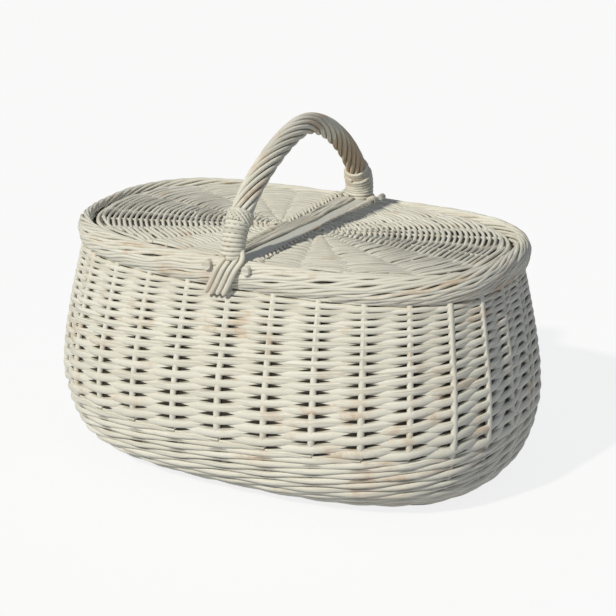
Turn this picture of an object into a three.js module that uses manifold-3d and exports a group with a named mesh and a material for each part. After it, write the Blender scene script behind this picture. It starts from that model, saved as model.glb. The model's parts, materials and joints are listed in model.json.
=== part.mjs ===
// A lidded oval willow picnic basket, in millimetres, +Z up, standing on z = 0.
// X runs along the basket and the handle crosses it along Y, over the middle.
import * as THREE from 'three';
import { mergeVertices } from 'three/addons/utils/BufferGeometryUtils.js';
import Module from 'manifold-3d';

// Clearances
const GAP = 0.3; // between pieces that touch
const WALE_PLAY = 0.6; // between the wall and the strands laid round it
const STAKE_PLAY = 1.1; // before and behind a stake
const HINGE_PLAY = 0.4; // round a hinge stick
const LID_PLAY = 1.5; // between a lid and the border round it

// Outline of the woven wall: length and width at its foot, heel and belly
const OVAL_POWER = 2.65; // 2 is an ellipse, more is squarer
const FOOT_LENGTH = 365;
const FOOT_WIDTH = 211;
const HEEL_LENGTH = 436;
const HEEL_WIDTH = 288;
const HEEL_HEIGHT = 24;
const BELLY_LENGTH = 463;
const BELLY_WIDTH = 320;
const BELLY_HEIGHT = 85;
const NECK_HEIGHT = 204;
const FLOOR_THICKNESS = 8;
const WALL_THICKNESS = 13;

// Upright stakes, a little closer together round the two ends
const STAKES = 30;
const STAKE_RADIUS = 2.5;
const STAKE_POINT = 1.8; // radius at the foot, where a stake is cut to go into the floor
const STAKE_SINK = 1.9; // depth of a stake below the face of the weave
const END_CROWDING = 0.2;
const FACET_SHARE = 0.27; // from a stake to the facets of bands and border, in stake spacings

// Courses of weave that pass in front of every other stake, between the two bands
const STEP_COURSES = 2; // in each straight stretch of the wall
const COURSE_THICKNESS = 3.4;
const COURSE_ROOT = 0.22; // where a course leaves the wall, as a share of the way to the stake

// Heavier bands of strands round the foot and under the border
const WALE_THICKNESS = 3.6;
const WALE_LIP = 1.4; // thickness left at the edges of a band
const FOOT_WALE_LOW = 1.5;
const FOOT_WALE_HIGH = 66;
const TOP_WALE_HEIGHT = 8;

// Plaited border, with an inner ledge that carries the lids and the slat
const RIM_LENGTH = 446;
const RIM_WIDTH = 275;
const END_OVERHANG = 7.5; // of the border over the neck of the wall, at the two ends
const SIDE_OVERHANG = 5.5;
const BORDER_HEIGHT = 25.7;
const BORDER_BROW = 11; // drop from the crown to the widest line
const BORDER_SHOULDER = 3;
const SHOULDER_DROP = 4.4;
const BORDER_CROWN_OUT = 8;
const BORDER_CROWN_IN = 13.5;
const BORDER_BODY = 17.5; // width above the ledge
const INNER_EASE = 2; // drop of the crown's inner corner
const BORDER_UNDERCUT = 4;
const LEDGE_WIDTH = 8.5;
const LEDGE_DEPTH = 11.3; // drop from the crown to the ledge

// Slat between the lids
const SLAT_WIDTH = 27;
const SLAT_THICKNESS = 5;
const SLAT_EDGE = 1.2;

// Lids
const LID_THICKNESS = 6;
const LID_RIBS = 7; // that fan out from the hinge stick
const LID_ROWS = 24; // of weavers, over and under the ribs by turns
const LID_RELIEF = 2.4;
const STICK_RADIUS = 3.5; // hinge stick and edge stick
const STICK_LIFT = 0.8; // from the ledge to a stick
const STICK_PROUD = 2; // end of a hinge stick outside the border
const STRAP_THICKNESS = 2.4;
const STRAP_WIDTH = 7;
const STRAP_CLEAR = 1; // between a strap and the end of the edge stick

// Handle
const HANDLE_RISE = 96; // foot of the arch to the middle of its top
const HANDLE_LEAN = 3.8; // degrees off upright, towards the right lid
const HANDLE_INSET = 10.5; // from the outside of the border to the core
const HIP_RISE = 52; // pull of the upright legs on the arch
const CROWN_REACH = 36; // pull of the level top on the arch
const CORE_RADIUS = 5;
const ROPE_RADIUS = 10.5;
const ROPE_STRANDS = 10;
const ROPE_GROOVE = 1.7;
const ROPE_PITCH = 145; // length of handle for one turn of a strand
const ROPE_LIFT = 5; // from the border's crown to the end of the strands
const BINDING_WALL = 2.4;
const BINDING_GROOVE = 0.9;
const BINDING_LENGTH = 48;
const BINDING_TURNS = 8;
const TAILS = 4;
const TAIL_RADIUS = 2.5;
const TAIL_SPACING = 6;
const TAIL_SHIFT = 4.5; // sideways, from the handle's middle to the middle of the tails' tops
const TAIL_SLANT = 15.5; // sideways run of a tail from top to end
const TAIL_DROP = 7; // below the underside of the border

// Facets
const FOOT_STEPS = 3; // of the wall behind the foot band
const FOOT_EASE = 1.25; // closer steps towards the foot
const WEAVE_STEPS = 3; // of the wall between the two bands
const STAKE_SIDES = 5;
const STICK_SIDES = 6;
const HANDLE_STEPS = 26;
const CORE_SIDES = 8;
const SOCKET_SIDES = 12;
const BINDING_SIDES = 10;
const TAIL_STEPS = 6;
const LID_STEPS = 20;
const STATION_STEPS = 1440;
const PROFILE_HALVINGS = 30;
const ARCH_POINTS = 6; // on each half of the handle
const HINGE_SIDES = 12;
const STRAP_SEGMENTS = 5;

const NECK_LENGTH = RIM_LENGTH - 2 * END_OVERHANG;
const NECK_WIDTH = RIM_WIDTH - 2 * SIDE_OVERHANG;
const BORDER_BOTTOM = NECK_HEIGHT + GAP;
const BORDER_TOP = BORDER_BOTTOM + BORDER_HEIGHT;
const LEDGE_TOP = BORDER_TOP - LEDGE_DEPTH;
const HINGE_X = SLAT_WIDTH / 2 + GAP + STRAP_THICKNESS + HINGE_PLAY + STICK_RADIUS;
const HINGE_Z = LEDGE_TOP + STICK_LIFT + STICK_RADIUS;

const WILLOW = { color: 0xd8d4c4, roughness: 0.75, metalness: 0 };
const SHADED_WILLOW = { color: 0xc6c1b2, roughness: 0.8, metalness: 0 };
const CANE = { color: 0xdccfae, roughness: 0.7, metalness: 0 };
const BOARD = { color: 0xb9b8b0, roughness: 0.6, metalness: 0 };

const wasm = await Module();
wasm.setup();
const basket = new THREE.Group();

function addPiece(name, geometry, finish) {
  const mesh = new THREE.Mesh(geometry, new THREE.MeshStandardMaterial(finish));
  mesh.name = name;
  basket.add(mesh);
}

// Faces between rings of points that follow each other from a first vertex. Each ring is
// turned by a shift of its points against the ring before it.
function skin(first, rings, sides, shift = 0) {
  const faces = [];
  for (let i = 0; i < rings - 1; i++) {
    const here = first + i * sides;
    const next = here + sides;
    for (let j = 0; j < sides; j++) {
      const k = (j + 1) % sides;
      const over = next + ((j + shift) % sides);
      const overNext = next + ((k + shift) % sides);
      faces.push([here + j, here + k, over], [here + k, overNext, over]);
    }
  }
  return faces;
}

// Faces between two lines of vertices, the lower and the upper one, that may differ in count
function strip(lower, upper) {
  const faces = [];
  let i = 0;
  let j = 0;
  while (i < lower.length - 1 || j < upper.length - 1) {
    const climbs = (j + 1) * (lower.length - 1) <= (i + 1) * (upper.length - 1);
    if (j < upper.length - 1 && (climbs || i === lower.length - 1)) {
      faces.push([lower[i], upper[j + 1], upper[j]]);
      j++;
    } else {
      faces.push([lower[i], lower[i + 1], upper[j]]);
      i++;
    }
  }
  return faces;
}

function fromFaces(points, faces) {
  const geometry = new THREE.BufferGeometry().setFromPoints(points);
  geometry.setIndex(faces.flat());
  geometry.computeVertexNormals();
  return geometry;
}

// Solid between rings of points that all have the same count, capped at both ends
function loft(rings) {
  const sides = rings[0].length;
  const last = (rings.length - 1) * sides;
  const faces = skin(0, rings.length, sides);
  for (let j = 1; j < sides - 1; j++) {
    faces.push([0, j + 1, j], [last, last + j, last + j + 1]);
  }
  return fromFaces(rings.flat(), faces);
}

// Solid ring through sections that all have the same count
function hoop(sections) {
  const sides = sections[0].length;
  const count = sections.length * sides;
  const faces = skin(0, sections.length + 1, sides).map((face) => face.map((vertex) => vertex % count));
  return fromFaces(sections.flat(), faces);
}

function toSolid(geometry) {
  const bare = geometry.clone();
  bare.deleteAttribute('normal');
  bare.deleteAttribute('uv');
  const merged = mergeVertices(bare);
  return new wasm.Manifold(new wasm.Mesh({
    numProp: 3,
    vertProperties: new Float32Array(merged.getAttribute('position').array),
    triVerts: new Uint32Array(merged.index.array),
  }));
}

function cut(geometry, tools) {
  const mesh = tools.reduce((rest, tool) => rest.subtract(toSolid(tool)), toSolid(geometry)).getMesh();
  const result = new THREE.BufferGeometry();
  result.setAttribute('position', new THREE.BufferAttribute(mesh.vertProperties, 3));
  result.setIndex(Array.from(mesh.triVerts));
  result.computeVertexNormals();
  return result;
}

function discSection(radius, sides) {
  const shape = new THREE.Shape();
  for (let i = 0; i < sides; i++) {
    const turn = (2 * Math.PI * i) / sides;
    const move = i === 0 ? 'moveTo' : 'lineTo';
    shape[move](radius * Math.cos(turn), radius * Math.sin(turn));
  }
  return shape;
}

function rod(path, radius, sides, steps) {
  return new THREE.ExtrudeGeometry(discSection(radius, sides), { extrudePath: path, steps });
}

// Point of an oval with half axes a and b at the angle of its squared-off sweep
function ovalPoint(a, b, angle, z) {
  const c = Math.cos(angle);
  const s = Math.sin(angle);
  const power = 2 / OVAL_POWER;
  const x = a * Math.sign(c) * Math.abs(c) ** power;
  const y = b * Math.sign(s) * Math.abs(s) ** power;
  return new THREE.Vector3(x, y, z);
}

// Running count of stakes passed round the belly, from the +X end
const stakeCount = [0];
for (let i = 0; i < STATION_STEPS; i++) {
  const from = ovalPoint(BELLY_LENGTH / 2, BELLY_WIDTH / 2, (2 * Math.PI * i) / STATION_STEPS, 0);
  const to = ovalPoint(BELLY_LENGTH / 2, BELLY_WIDTH / 2, (2 * Math.PI * (i + 1)) / STATION_STEPS, 0);
  const endward = ((from.x + to.x) / BELLY_LENGTH) ** 2;
  stakeCount.push(stakeCount[i] + from.distanceTo(to) * (1 + END_CROWDING * endward));
}
const stakeSpacing = stakeCount[STATION_STEPS] / STAKES;

// Angle of the oval at a place counted in stake spacings
function stationAngle(place) {
  const target = THREE.MathUtils.euclideanModulo(place, STAKES) * stakeSpacing;
  const after = stakeCount.findIndex((count) => count > target);
  const share = (target - stakeCount[after - 1]) / (stakeCount[after] - stakeCount[after - 1]);
  return (2 * Math.PI * (after - 1 + share)) / STATION_STEPS;
}

// Half axes of the wall's outer face, and its height, along one curve from foot to neck
const wallProfile = new THREE.CatmullRomCurve3([
  new THREE.Vector3(FOOT_LENGTH / 2, FOOT_WIDTH / 2, 0),
  new THREE.Vector3(HEEL_LENGTH / 2, HEEL_WIDTH / 2, HEEL_HEIGHT),
  new THREE.Vector3(BELLY_LENGTH / 2, BELLY_WIDTH / 2, BELLY_HEIGHT),
  new THREE.Vector3(NECK_LENGTH / 2, NECK_WIDTH / 2, NECK_HEIGHT),
]);

function wallLevel(z) {
  let low = 0;
  let high = 1;
  for (let i = 0; i < PROFILE_HALVINGS; i++) {
    const middle = (low + high) / 2;
    if (wallProfile.getPoint(middle).z < z) low = middle;
    else high = middle;
  }
  const tangent = wallProfile.getTangent(low);
  const point = wallProfile.getPoint(low);
  return { a: point.x, b: point.y, slant: Math.hypot(tangent.x, tangent.z) / tangent.z };
}

// Point of the wall at a height, at a depth square to its outer face
function wallPoint(z, depth, angle) {
  const level = wallLevel(z);
  return ovalPoint(level.a - depth * level.slant, level.b - depth * level.slant, angle, z);
}

function rimPoint(inset, angle, z) {
  return ovalPoint(RIM_LENGTH / 2 - inset, RIM_WIDTH / 2 - inset, angle, z);
}

const stakePlaces = Array.from({ length: STAKES }, (_, i) => i + 0.5);
const bandAngles = stakePlaces.flatMap((place) => [
  stationAngle(place - FACET_SHARE),
  stationAngle(place + FACET_SHARE),
]);

// Heights where the wall bends: behind the foot band, in the open weave and at the neck
const weaveLow = FOOT_WALE_HIGH + GAP;
const weaveHigh = NECK_HEIGHT - TOP_WALE_HEIGHT - GAP;
const wallHeights = [
  ...Array.from({ length: FOOT_STEPS }, (_, i) => {
    return FLOOR_THICKNESS + (weaveLow - FLOOR_THICKNESS) * (i / FOOT_STEPS) ** FOOT_EASE;
  }),
  ...Array.from({ length: WEAVE_STEPS + 1 }, (_, i) => {
    return weaveLow + ((weaveHigh - weaveLow) * i) / WEAVE_STEPS;
  }),
  NECK_HEIGHT,
];

// Point of the wall on its straight stretch between two bends
function stretchPoint(z, depth, angle) {
  const after = Math.max(wallHeights.findIndex((height) => height >= z), 1);
  const [low, high] = [wallHeights[after - 1], wallHeights[after]];
  const top = wallPoint(high, depth, angle);
  return wallPoint(low, depth, angle).lerp(top, (z - low) / (high - low));
}

// Woven floor, the flat face that the basket stands on
function floor() {
  const rings = [0, FLOOR_THICKNESS - GAP].map((z) => bandAngles.map((angle) => wallPoint(z, 0, angle)));
  return loft(rings);
}

// Woven wall: a shell dished in behind each stake, and courses of weave that bridge every
// other stake in front
function wall() {
  const stakeBack = STAKE_SINK + 2 * STAKE_RADIUS + STAKE_PLAY;
  const courseBack = STAKE_SINK - STAKE_PLAY;
  const courseStep = (weaveHigh - weaveLow) / (WEAVE_STEPS * STEP_COURSES);
  const points = [];
  const put = (point) => points.push(point) - 1;
  const levels = wallHeights.flatMap((z, i) => {
    const inWeave = z >= weaveLow && z < weaveHigh;
    const courses = Array.from({ length: inWeave ? STEP_COURSES : 1 }, (_, j) => z + j * courseStep);
    return courses.map((height, j) => ({ z: height, bend: j === 0, weave: inWeave || z === weaveHigh }));
  }).map(({ z, bend, weave }) => {
    const ridges = stakePlaces.map((place) => put(stretchPoint(z, 0, stationAngle(place - 0.5))));
    const cells = stakePlaces.map((place, i) => {
      const at = stationAngle(place);
      const valley = put(stretchPoint(z, stakeBack, at));
      const [left, right] = [ridges[i], ridges[(i + 1) % STAKES]];
      if (!weave) return { left, right, shell: [left, valley, right] };
      const roots = [left, right].map((ridge) => {
        return put(points[ridge].clone().lerp(points[valley], COURSE_ROOT));
      });
      return {
        left,
        right,
        shell: [left, roots[0], valley, roots[1], right],
        behind: [roots[0], valley, roots[1]],
        front: [left, put(stretchPoint(z, courseBack - COURSE_THICKNESS, at)), right],
        back: [roots[1], put(stretchPoint(z, courseBack, at)), roots[0]],
      };
    });
    const inside = !bend ? [] : stakePlaces.map((place) => {
      return put(stretchPoint(z, WALL_THICKNESS, stationAngle(place - 0.5)));
    });
    return { weave, cells, inside: [...inside, inside[0]] };
  });

  const faces = [];
  const flip = (face) => face.toReversed();
  levels.slice(1).forEach((upper, i) => {
    const lower = levels[i];
    const open = lower.weave && upper.weave;
    upper.cells.forEach((top, stakeIndex) => {
      const bottom = lower.cells[stakeIndex];
      if (!open || (i + stakeIndex) % 2 === 1) {
        faces.push(...strip(bottom.shell, top.shell));
        return;
      }
      faces.push(...strip(bottom.behind, top.behind));
      faces.push(...strip(bottom.front, top.front));
      faces.push(...strip(bottom.back, top.back));
      faces.push(...strip(top.front, top.back.toReversed()));
      faces.push(...strip(bottom.front, bottom.back.toReversed()).map(flip));
    });
  });
  const bends = levels.filter(({ inside }) => inside.length > 1);
  bends.slice(1).forEach((upper, i) => {
    faces.push(...strip(bends[i].inside, upper.inside).map(flip));
  });
  const ring = (level) => [...level.cells.flatMap(({ shell }) => shell.slice(0, -1)), level.cells[0].left];
  const [foot, neck] = [levels[0], levels[levels.length - 1]];
  faces.push(...strip(ring(neck), neck.inside));
  faces.push(...strip(ring(foot), foot.inside).map(flip));
  return fromFaces(points, faces);
}

// Stake rising in its valley of the wall, from the floor to the border
function stake(place) {
  const angle = stationAngle(place);
  const depth = STAKE_SINK + STAKE_RADIUS;
  const heights = [...wallHeights];
  heights[0] += GAP + STAKE_RADIUS;
  heights[heights.length - 1] -= GAP + STAKE_RADIUS / 2;
  const rings = heights.map((z, i) => {
    const middle = stretchPoint(z, depth, angle);
    const along = wallPoint(z + 1, depth, angle).sub(wallPoint(z - 1, depth, angle)).normalize();
    const outward = wallPoint(z, depth - 1, angle).sub(middle);
    const across = along.clone().cross(outward).normalize();
    outward.crossVectors(across, along);
    return circle(middle, outward, across, i < 2 ? STAKE_POINT : STAKE_RADIUS, STAKE_SIDES);
  });
  return loft(rings);
}

function circle(middle, first, second, radius, sides) {
  return Array.from({ length: sides }, (_, i) => {
    const turn = (2 * Math.PI * i) / sides;
    return middle.clone()
      .addScaledVector(first, radius * Math.cos(turn))
      .addScaledVector(second, radius * Math.sin(turn));
  });
}

// Band of heavier strands round the wall between two heights, thinner towards its edges. It
// breaks where the wall does, so that the two lie along each other.
function wale(low, high) {
  const breaks = wallHeights.filter((z) => z > low && z < high);
  const inner = [low, ...breaks, high];
  const outer = breaks.length > 0 ? inner : [low, (low + high) / 2, high];
  const bulk = (z) => {
    return WALE_LIP + (WALE_THICKNESS - WALE_LIP) * Math.sin((Math.PI * (z - low)) / (high - low));
  };
  const sections = bandAngles.map((angle) => [
    ...inner.map((z) => wallPoint(z, -WALE_PLAY, angle)),
    ...outer.toReversed().map((z) => wallPoint(z, -WALE_PLAY - bulk(z), angle)),
  ]);
  return hoop(sections);
}

// Outer face of the border from its crown down to its underside: inset and height
const borderFace = [
  [BORDER_CROWN_OUT, BORDER_TOP],
  [BORDER_SHOULDER, BORDER_TOP - SHOULDER_DROP],
  [0, BORDER_TOP - BORDER_BROW],
  [BORDER_UNDERCUT, BORDER_BOTTOM],
];

// Border with its inner ledge, a socket at each foot of the handle and bores for the ends of
// the hinge sticks
function border() {
  const ledgeInset = BORDER_BODY + LEDGE_WIDTH;
  const outline = [
    ...borderFace,
    [ledgeInset, BORDER_BOTTOM],
    [ledgeInset, LEDGE_TOP],
    [BORDER_BODY, LEDGE_TOP],
    [BORDER_BODY, BORDER_TOP - INNER_EASE],
    [BORDER_CROWN_IN, BORDER_TOP],
  ];
  const sections = bandAngles.map((angle) => outline.map(([inset, z]) => rimPoint(inset, angle, z)));
  const sockets = [-1, 1].map((side) => {
    const from = handleFoot(side, BORDER_BOTTOM - BORDER_HEIGHT);
    const to = handleFoot(side, BORDER_TOP + BORDER_HEIGHT);
    const bore = (CORE_RADIUS + GAP) / Math.cos(Math.PI / SOCKET_SIDES);
    return rod(new THREE.LineCurve3(from, to), bore, SOCKET_SIDES, 1);
  });
  const bores = [-1, 1].map((side) => {
    const ends = [-RIM_WIDTH, RIM_WIDTH].map((y) => new THREE.Vector3(side * HINGE_X, y, HINGE_Z));
    const bore = (STICK_RADIUS + HINGE_PLAY) / Math.cos(Math.PI / HINGE_SIDES);
    return rod(new THREE.LineCurve3(ends[0], ends[1]), bore, HINGE_SIDES, 1);
  });
  return cut(hoop(sections), [...sockets, ...bores]);
}

// Place on the handle's leaning plane, at a distance across and a height
function handlePlace(y, z) {
  const lean = Math.tan(THREE.MathUtils.degToRad(HANDLE_LEAN));
  return new THREE.Vector3(lean * (z - BORDER_TOP), y, z);
}

function handleFoot(side, z) {
  return handlePlace(side * (RIM_WIDTH / 2 - HANDLE_INSET), z);
}

// Middle line of the handle from its near socket over the arch to its far socket
function handlePath() {
  const spread = RIM_WIDTH / 2 - HANDLE_INSET;
  const top = BORDER_TOP + HANDLE_RISE;
  const half = new THREE.CubicBezierCurve3(
    handlePlace(-spread, BORDER_TOP),
    handlePlace(-spread, BORDER_TOP + HIP_RISE),
    handlePlace(-CROWN_REACH, top),
    handlePlace(0, top),
  );
  const rise = half.getPoints(ARCH_POINTS).slice(1);
  const fall = rise.slice(0, -1).reverse().map((point) => handlePlace(-point.y, point.z));
  const socketEnd = BORDER_BOTTOM + GAP;
  const footHeights = [socketEnd, (socketEnd + BORDER_TOP) / 2, BORDER_TOP];
  const nearFoot = footHeights.map((z) => handleFoot(-1, z));
  const farFoot = footHeights.toReversed().map((z) => handleFoot(1, z));
  return new THREE.CatmullRomCurve3([...nearFoot, ...rise, ...fall, ...farFoot]);
}

const handleLine = handlePath();
const handleLength = handleLine.getLength();
const ropeStart = BORDER_TOP - BORDER_BOTTOM + ROPE_LIFT;

// Ring of points round the handle at a distance along it, in its own flat frame and in place
function handleRing(distance, radii) {
  const share = distance / handleLength;
  const middle = handleLine.getPointAt(share);
  const upward = handlePlace(0, BORDER_TOP + 1).sub(handlePlace(0, BORDER_TOP));
  const across = new THREE.Vector3(0, 1, 0).cross(upward).normalize();
  const outward = across.clone().cross(handleLine.getTangentAt(share));
  const flat = radii.map((radius, i) => {
    const turn = (2 * Math.PI * i) / radii.length;
    return new THREE.Vector2(radius * Math.cos(turn), radius * Math.sin(turn));
  });
  const placed = flat.map(({ x, y }) => {
    return middle.clone().addScaledVector(outward, x).addScaledVector(across, y);
  });
  return { flat, placed };
}

// Sleeve on the handle between two distances along it, bored through. The outer faces
// follow a helix when each ring of them is turned on the last by a shift.
function sleeve(from, to, steps, radiiAt, boreSteps, boreSides, bore, shift = 0) {
  const spread = (count) => Array.from({ length: count + 1 }, (_, i) => from + ((to - from) * i) / count);
  const boreRadii = new Array(boreSides).fill(bore / Math.cos(Math.PI / boreSides));
  const outer = spread(steps).map((distance, i) => handleRing(distance, radiiAt(i)));
  const inner = spread(boreSteps).map((distance) => handleRing(distance, boreRadii));
  const sides = outer[0].flat.length;
  const boreFirst = outer.length * sides;
  const flip = ([a, b, c]) => [a, c, b];
  const faces = [
    ...skin(0, outer.length, sides, shift),
    ...skin(boreFirst, inner.length, boreSides).map(flip),
  ];
  const rims = [[0, boreFirst], [steps * sides, boreFirst + boreSteps * boreSides]];
  rims.forEach(([outerFirst, innerFirst], end) => {
    const ring = outer[end * steps].flat;
    const hole = inner[end * boreSteps].flat;
    const cap = THREE.ShapeUtils.triangulateShape(ring, [hole]).map((face) => face.map((vertex) => {
      return vertex < sides ? outerFirst + vertex : innerFirst + vertex - sides;
    }));
    faces.push(...(end === 0 ? cap.map(flip) : cap));
  });
  const points = [...outer, ...inner].flatMap((ring) => ring.placed);
  return fromFaces(points, faces);
}

// Strands laid round the core in a right-hand twist, one strand further on at each step
function rope() {
  const end = handleLength - ropeStart;
  const steps = Math.round(((end - ropeStart) * ROPE_STRANDS) / ROPE_PITCH);
  const radii = Array.from({ length: 2 * ROPE_STRANDS }, (_, i) => ROPE_RADIUS - (i % 2) * ROPE_GROOVE);
  return sleeve(ropeStart, end, steps, () => radii, steps, CORE_SIDES, CORE_RADIUS + GAP, 2);
}

// Close turns of split cane round one foot of the handle
function binding(from, to) {
  const crest = ROPE_RADIUS + GAP + BINDING_WALL;
  const radiiAt = (step) => {
    const radius = (crest - (step % 2) * BINDING_GROOVE) / Math.cos(Math.PI / BINDING_SIDES);
    return new Array(BINDING_SIDES).fill(radius);
  };
  return sleeve(from, to, 2 * BINDING_TURNS, radiiAt, BINDING_TURNS, BINDING_SIDES, ROPE_RADIUS + GAP);
}

// Line of flat points moved out to its left-hand side, with square distances kept at corners
function offsetLine(points, distance) {
  const normals = points.slice(1).map((point, i) => {
    const along = point.clone().sub(points[i]).normalize();
    return new THREE.Vector2(-along.y, along.x);
  });
  return points.map((point, i) => {
    const before = normals[Math.max(i - 1, 0)];
    const after = normals[Math.min(i, normals.length - 1)];
    const mean = before.clone().add(after).normalize();
    return point.clone().addScaledVector(mean, distance / mean.dot(after));
  });
}

// End of a handle strand, bent out over the border and tucked against the wall
function tail(side, offset) {
  const end = BORDER_BOTTOM - TAIL_DROP;
  const wallOut = wallLevel(end).b + WALE_PLAY + WALE_THICKNESS;
  const [crown, shoulder, brow, under] = borderFace.map(([inset, z]) => {
    return new THREE.Vector2(RIM_WIDTH / 2 - inset, z);
  });
  const start = crown.clone().add(shoulder).divideScalar(2);
  under.x = Math.max(under.x, wallOut);
  const face = [start, shoulder, brow, under, new THREE.Vector2(wallOut, end)];
  const points = offsetLine(face, TAIL_RADIUS + GAP).map(({ x: y, y: z }) => {
    const x = offset + TAIL_SHIFT - (TAIL_SLANT * (start.y - z)) / (start.y - end);
    return new THREE.Vector3(-side * x, side * y, z);
  });
  return rod(new THREE.CatmullRomCurve3(points), TAIL_RADIUS, STICK_SIDES, TAIL_STEPS);
}

// Flat board between the lids, with eased edges, lying on the ledge
function slat() {
  const half = SLAT_WIDTH / 2;
  const low = LEDGE_TOP + GAP;
  const high = low + SLAT_THICKNESS;
  const section = [
    [-half, low], [half, low], [half, high - SLAT_EDGE],
    [half - SLAT_EDGE, high], [SLAT_EDGE - half, high], [-half, high - SLAT_EDGE],
  ];
  const reach = RIM_WIDTH / 2 - BORDER_BODY - 2 * GAP;
  return loft([reach, -reach].map((y) => section.map(([x, z]) => new THREE.Vector3(x, y, z))));
}

// Angles from the hinge side of a lid, round its edge, to the hinge side again
function lidAngles(inset, hingeX, steps) {
  const a = RIM_LENGTH / 2 - inset;
  const start = Math.acos((hingeX / a) ** (OVAL_POWER / 2));
  return Array.from({ length: steps + 1 }, (_, i) => start * ((2 * i) / steps - 1));
}

// Woven panel of a lid, inside its edge stick: rows from hinge to hinge, straight between the
// ribs, each a smaller copy of the one outside it
function lidPanel(side) {
  const inset = BORDER_BODY + LID_PLAY + 2 * STICK_RADIUS + GAP;
  const hinge = new THREE.Vector3(HINGE_X + STICK_RADIUS + GAP, 0, 0);
  const spans = LID_RIBS + 1;
  const corners = lidAngles(inset, hinge.x, spans).map((angle) => rimPoint(inset, angle, 0));
  const points = [];
  const put = (point, z) => points.push(new THREE.Vector3(side * point.x, side * point.y, HINGE_Z + z)) - 1;
  const rows = Array.from({ length: LID_ROWS }, (_, i) => corners.map((corner, j) => {
    const lift = ((i + j) % 2 === 0 ? LID_RELIEF : -LID_RELIEF) / 2;
    return put(hinge.clone().lerp(corner, (i + 1) / LID_ROWS), LID_THICKNESS / 2 + lift);
  }));
  const under = corners.map((corner) => put(corner, -LID_THICKNESS / 2));
  const edge = rows[LID_ROWS - 1];
  const hingeSide = [...rows.map((row) => row[spans]).reverse(), ...rows.map((row) => row[0])];
  const faces = [
    ...rows.slice(1).flatMap((row, i) => strip(row, rows[i])),
    ...strip(under, edge),
    ...strip([under[spans], under[0]], hingeSide),
  ];
  for (let j = 1; j < spans; j++) {
    faces.push([rows[0][0], rows[0][j], rows[0][j + 1]], [under[0], under[j + 1], under[j]]);
  }
  return fromFaces(points, faces);
}

// Bent stick round the curved edge of a lid
function lidEdge(side) {
  const inset = BORDER_BODY + LID_PLAY + STICK_RADIUS;
  const strapSide = HINGE_X + STICK_RADIUS + HINGE_PLAY + STRAP_THICKNESS + STRAP_CLEAR;
  const angles = lidAngles(inset, strapSide + STICK_RADIUS, LID_STEPS);
  const up = new THREE.Vector3(0, 0, 1);
  const rings = angles.map((angle) => {
    const outward = rimPoint(inset - 1, angle, HINGE_Z).sub(rimPoint(inset, angle, HINGE_Z));
    const middle = rimPoint(inset, angle, HINGE_Z);
    const ring = circle(middle, up, outward.normalize(), STICK_RADIUS, STICK_SIDES);
    return ring.map((point) => new THREE.Vector3(side * point.x, side * point.y, point.z));
  });
  return loft(rings);
}

// Straight stick along the slat, which the lid turns on, its ends through the border
function hingeStick(side) {
  const reach = RIM_WIDTH / 2 + STICK_PROUD;
  const ends = [-reach, reach].map((y) => new THREE.Vector3(side * HINGE_X, y, HINGE_Z));
  return rod(new THREE.LineCurve3(ends[0], ends[1]), STICK_RADIUS, HINGE_SIDES, 1);
}

// Cane strap over one end of a hinge stick, its two legs down on the ledge
function strap(side, end) {
  const inner = STICK_RADIUS + HINGE_PLAY;
  const outer = inner + STRAP_THICKNESS;
  const foot = LEDGE_TOP + GAP - HINGE_Z;
  const shape = new THREE.Shape();
  shape.moveTo(outer, foot);
  shape.absarc(0, 0, outer, 0, Math.PI, false);
  shape.lineTo(-outer, foot);
  shape.lineTo(-inner, foot);
  shape.absarc(0, 0, inner, Math.PI, 0, true);
  shape.lineTo(inner, foot);
  const geometry = new THREE.ExtrudeGeometry(shape, {
    depth: STRAP_WIDTH, bevelEnabled: false, curveSegments: STRAP_SEGMENTS,
  });
  geometry.translate(0, 0, -STRAP_WIDTH / 2).rotateX(Math.PI / 2);
  const y = RIM_WIDTH / 2 - BORDER_BODY - LEDGE_WIDTH / 2;
  return geometry.translate(side * HINGE_X, end * y, HINGE_Z);
}

addPiece('floor_weave', floor(), SHADED_WILLOW);
addPiece('side_weave', wall(), WILLOW);
stakePlaces.forEach((place, i) => {
  addPiece(`stake_${String(i + 1).padStart(2, '0')}`, stake(place), SHADED_WILLOW);
});
addPiece('foot_wale', wale(FOOT_WALE_LOW, FOOT_WALE_HIGH), WILLOW);
addPiece('top_wale', wale(NECK_HEIGHT - TOP_WALE_HEIGHT, NECK_HEIGHT), WILLOW);
addPiece('border', border(), WILLOW);
addPiece('handle_core', rod(handleLine, CORE_RADIUS, CORE_SIDES, HANDLE_STEPS), SHADED_WILLOW);
addPiece('handle_rope', rope(), WILLOW);
const bindingStart = ropeStart + GAP;
const bindingEnd = bindingStart + BINDING_LENGTH;
addPiece('binding_near', binding(bindingStart, bindingEnd), CANE);
addPiece('binding_far', binding(handleLength - bindingEnd, handleLength - bindingStart), CANE);
[['near', -1], ['far', 1]].forEach(([end, side]) => {
  for (let i = 0; i < TAILS; i++) {
    addPiece(`tail_${end}_${i + 1}`, tail(side, (i - (TAILS - 1) / 2) * TAIL_SPACING), WILLOW);
  }
});
addPiece('slat', slat(), BOARD);
[['left', -1], ['right', 1]].forEach(([name, side]) => {
  addPiece(`lid_${name}_weave`, lidPanel(side), WILLOW);
  addPiece(`lid_${name}_edge`, lidEdge(side), SHADED_WILLOW);
  addPiece(`lid_${name}_hinge_stick`, hingeStick(side), SHADED_WILLOW);
  addPiece(`strap_${name}_near`, strap(side, -1), CANE);
  addPiece(`strap_${name}_far`, strap(side, 1), CANE);
});

export default basket;
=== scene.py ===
import json
import math

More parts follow.
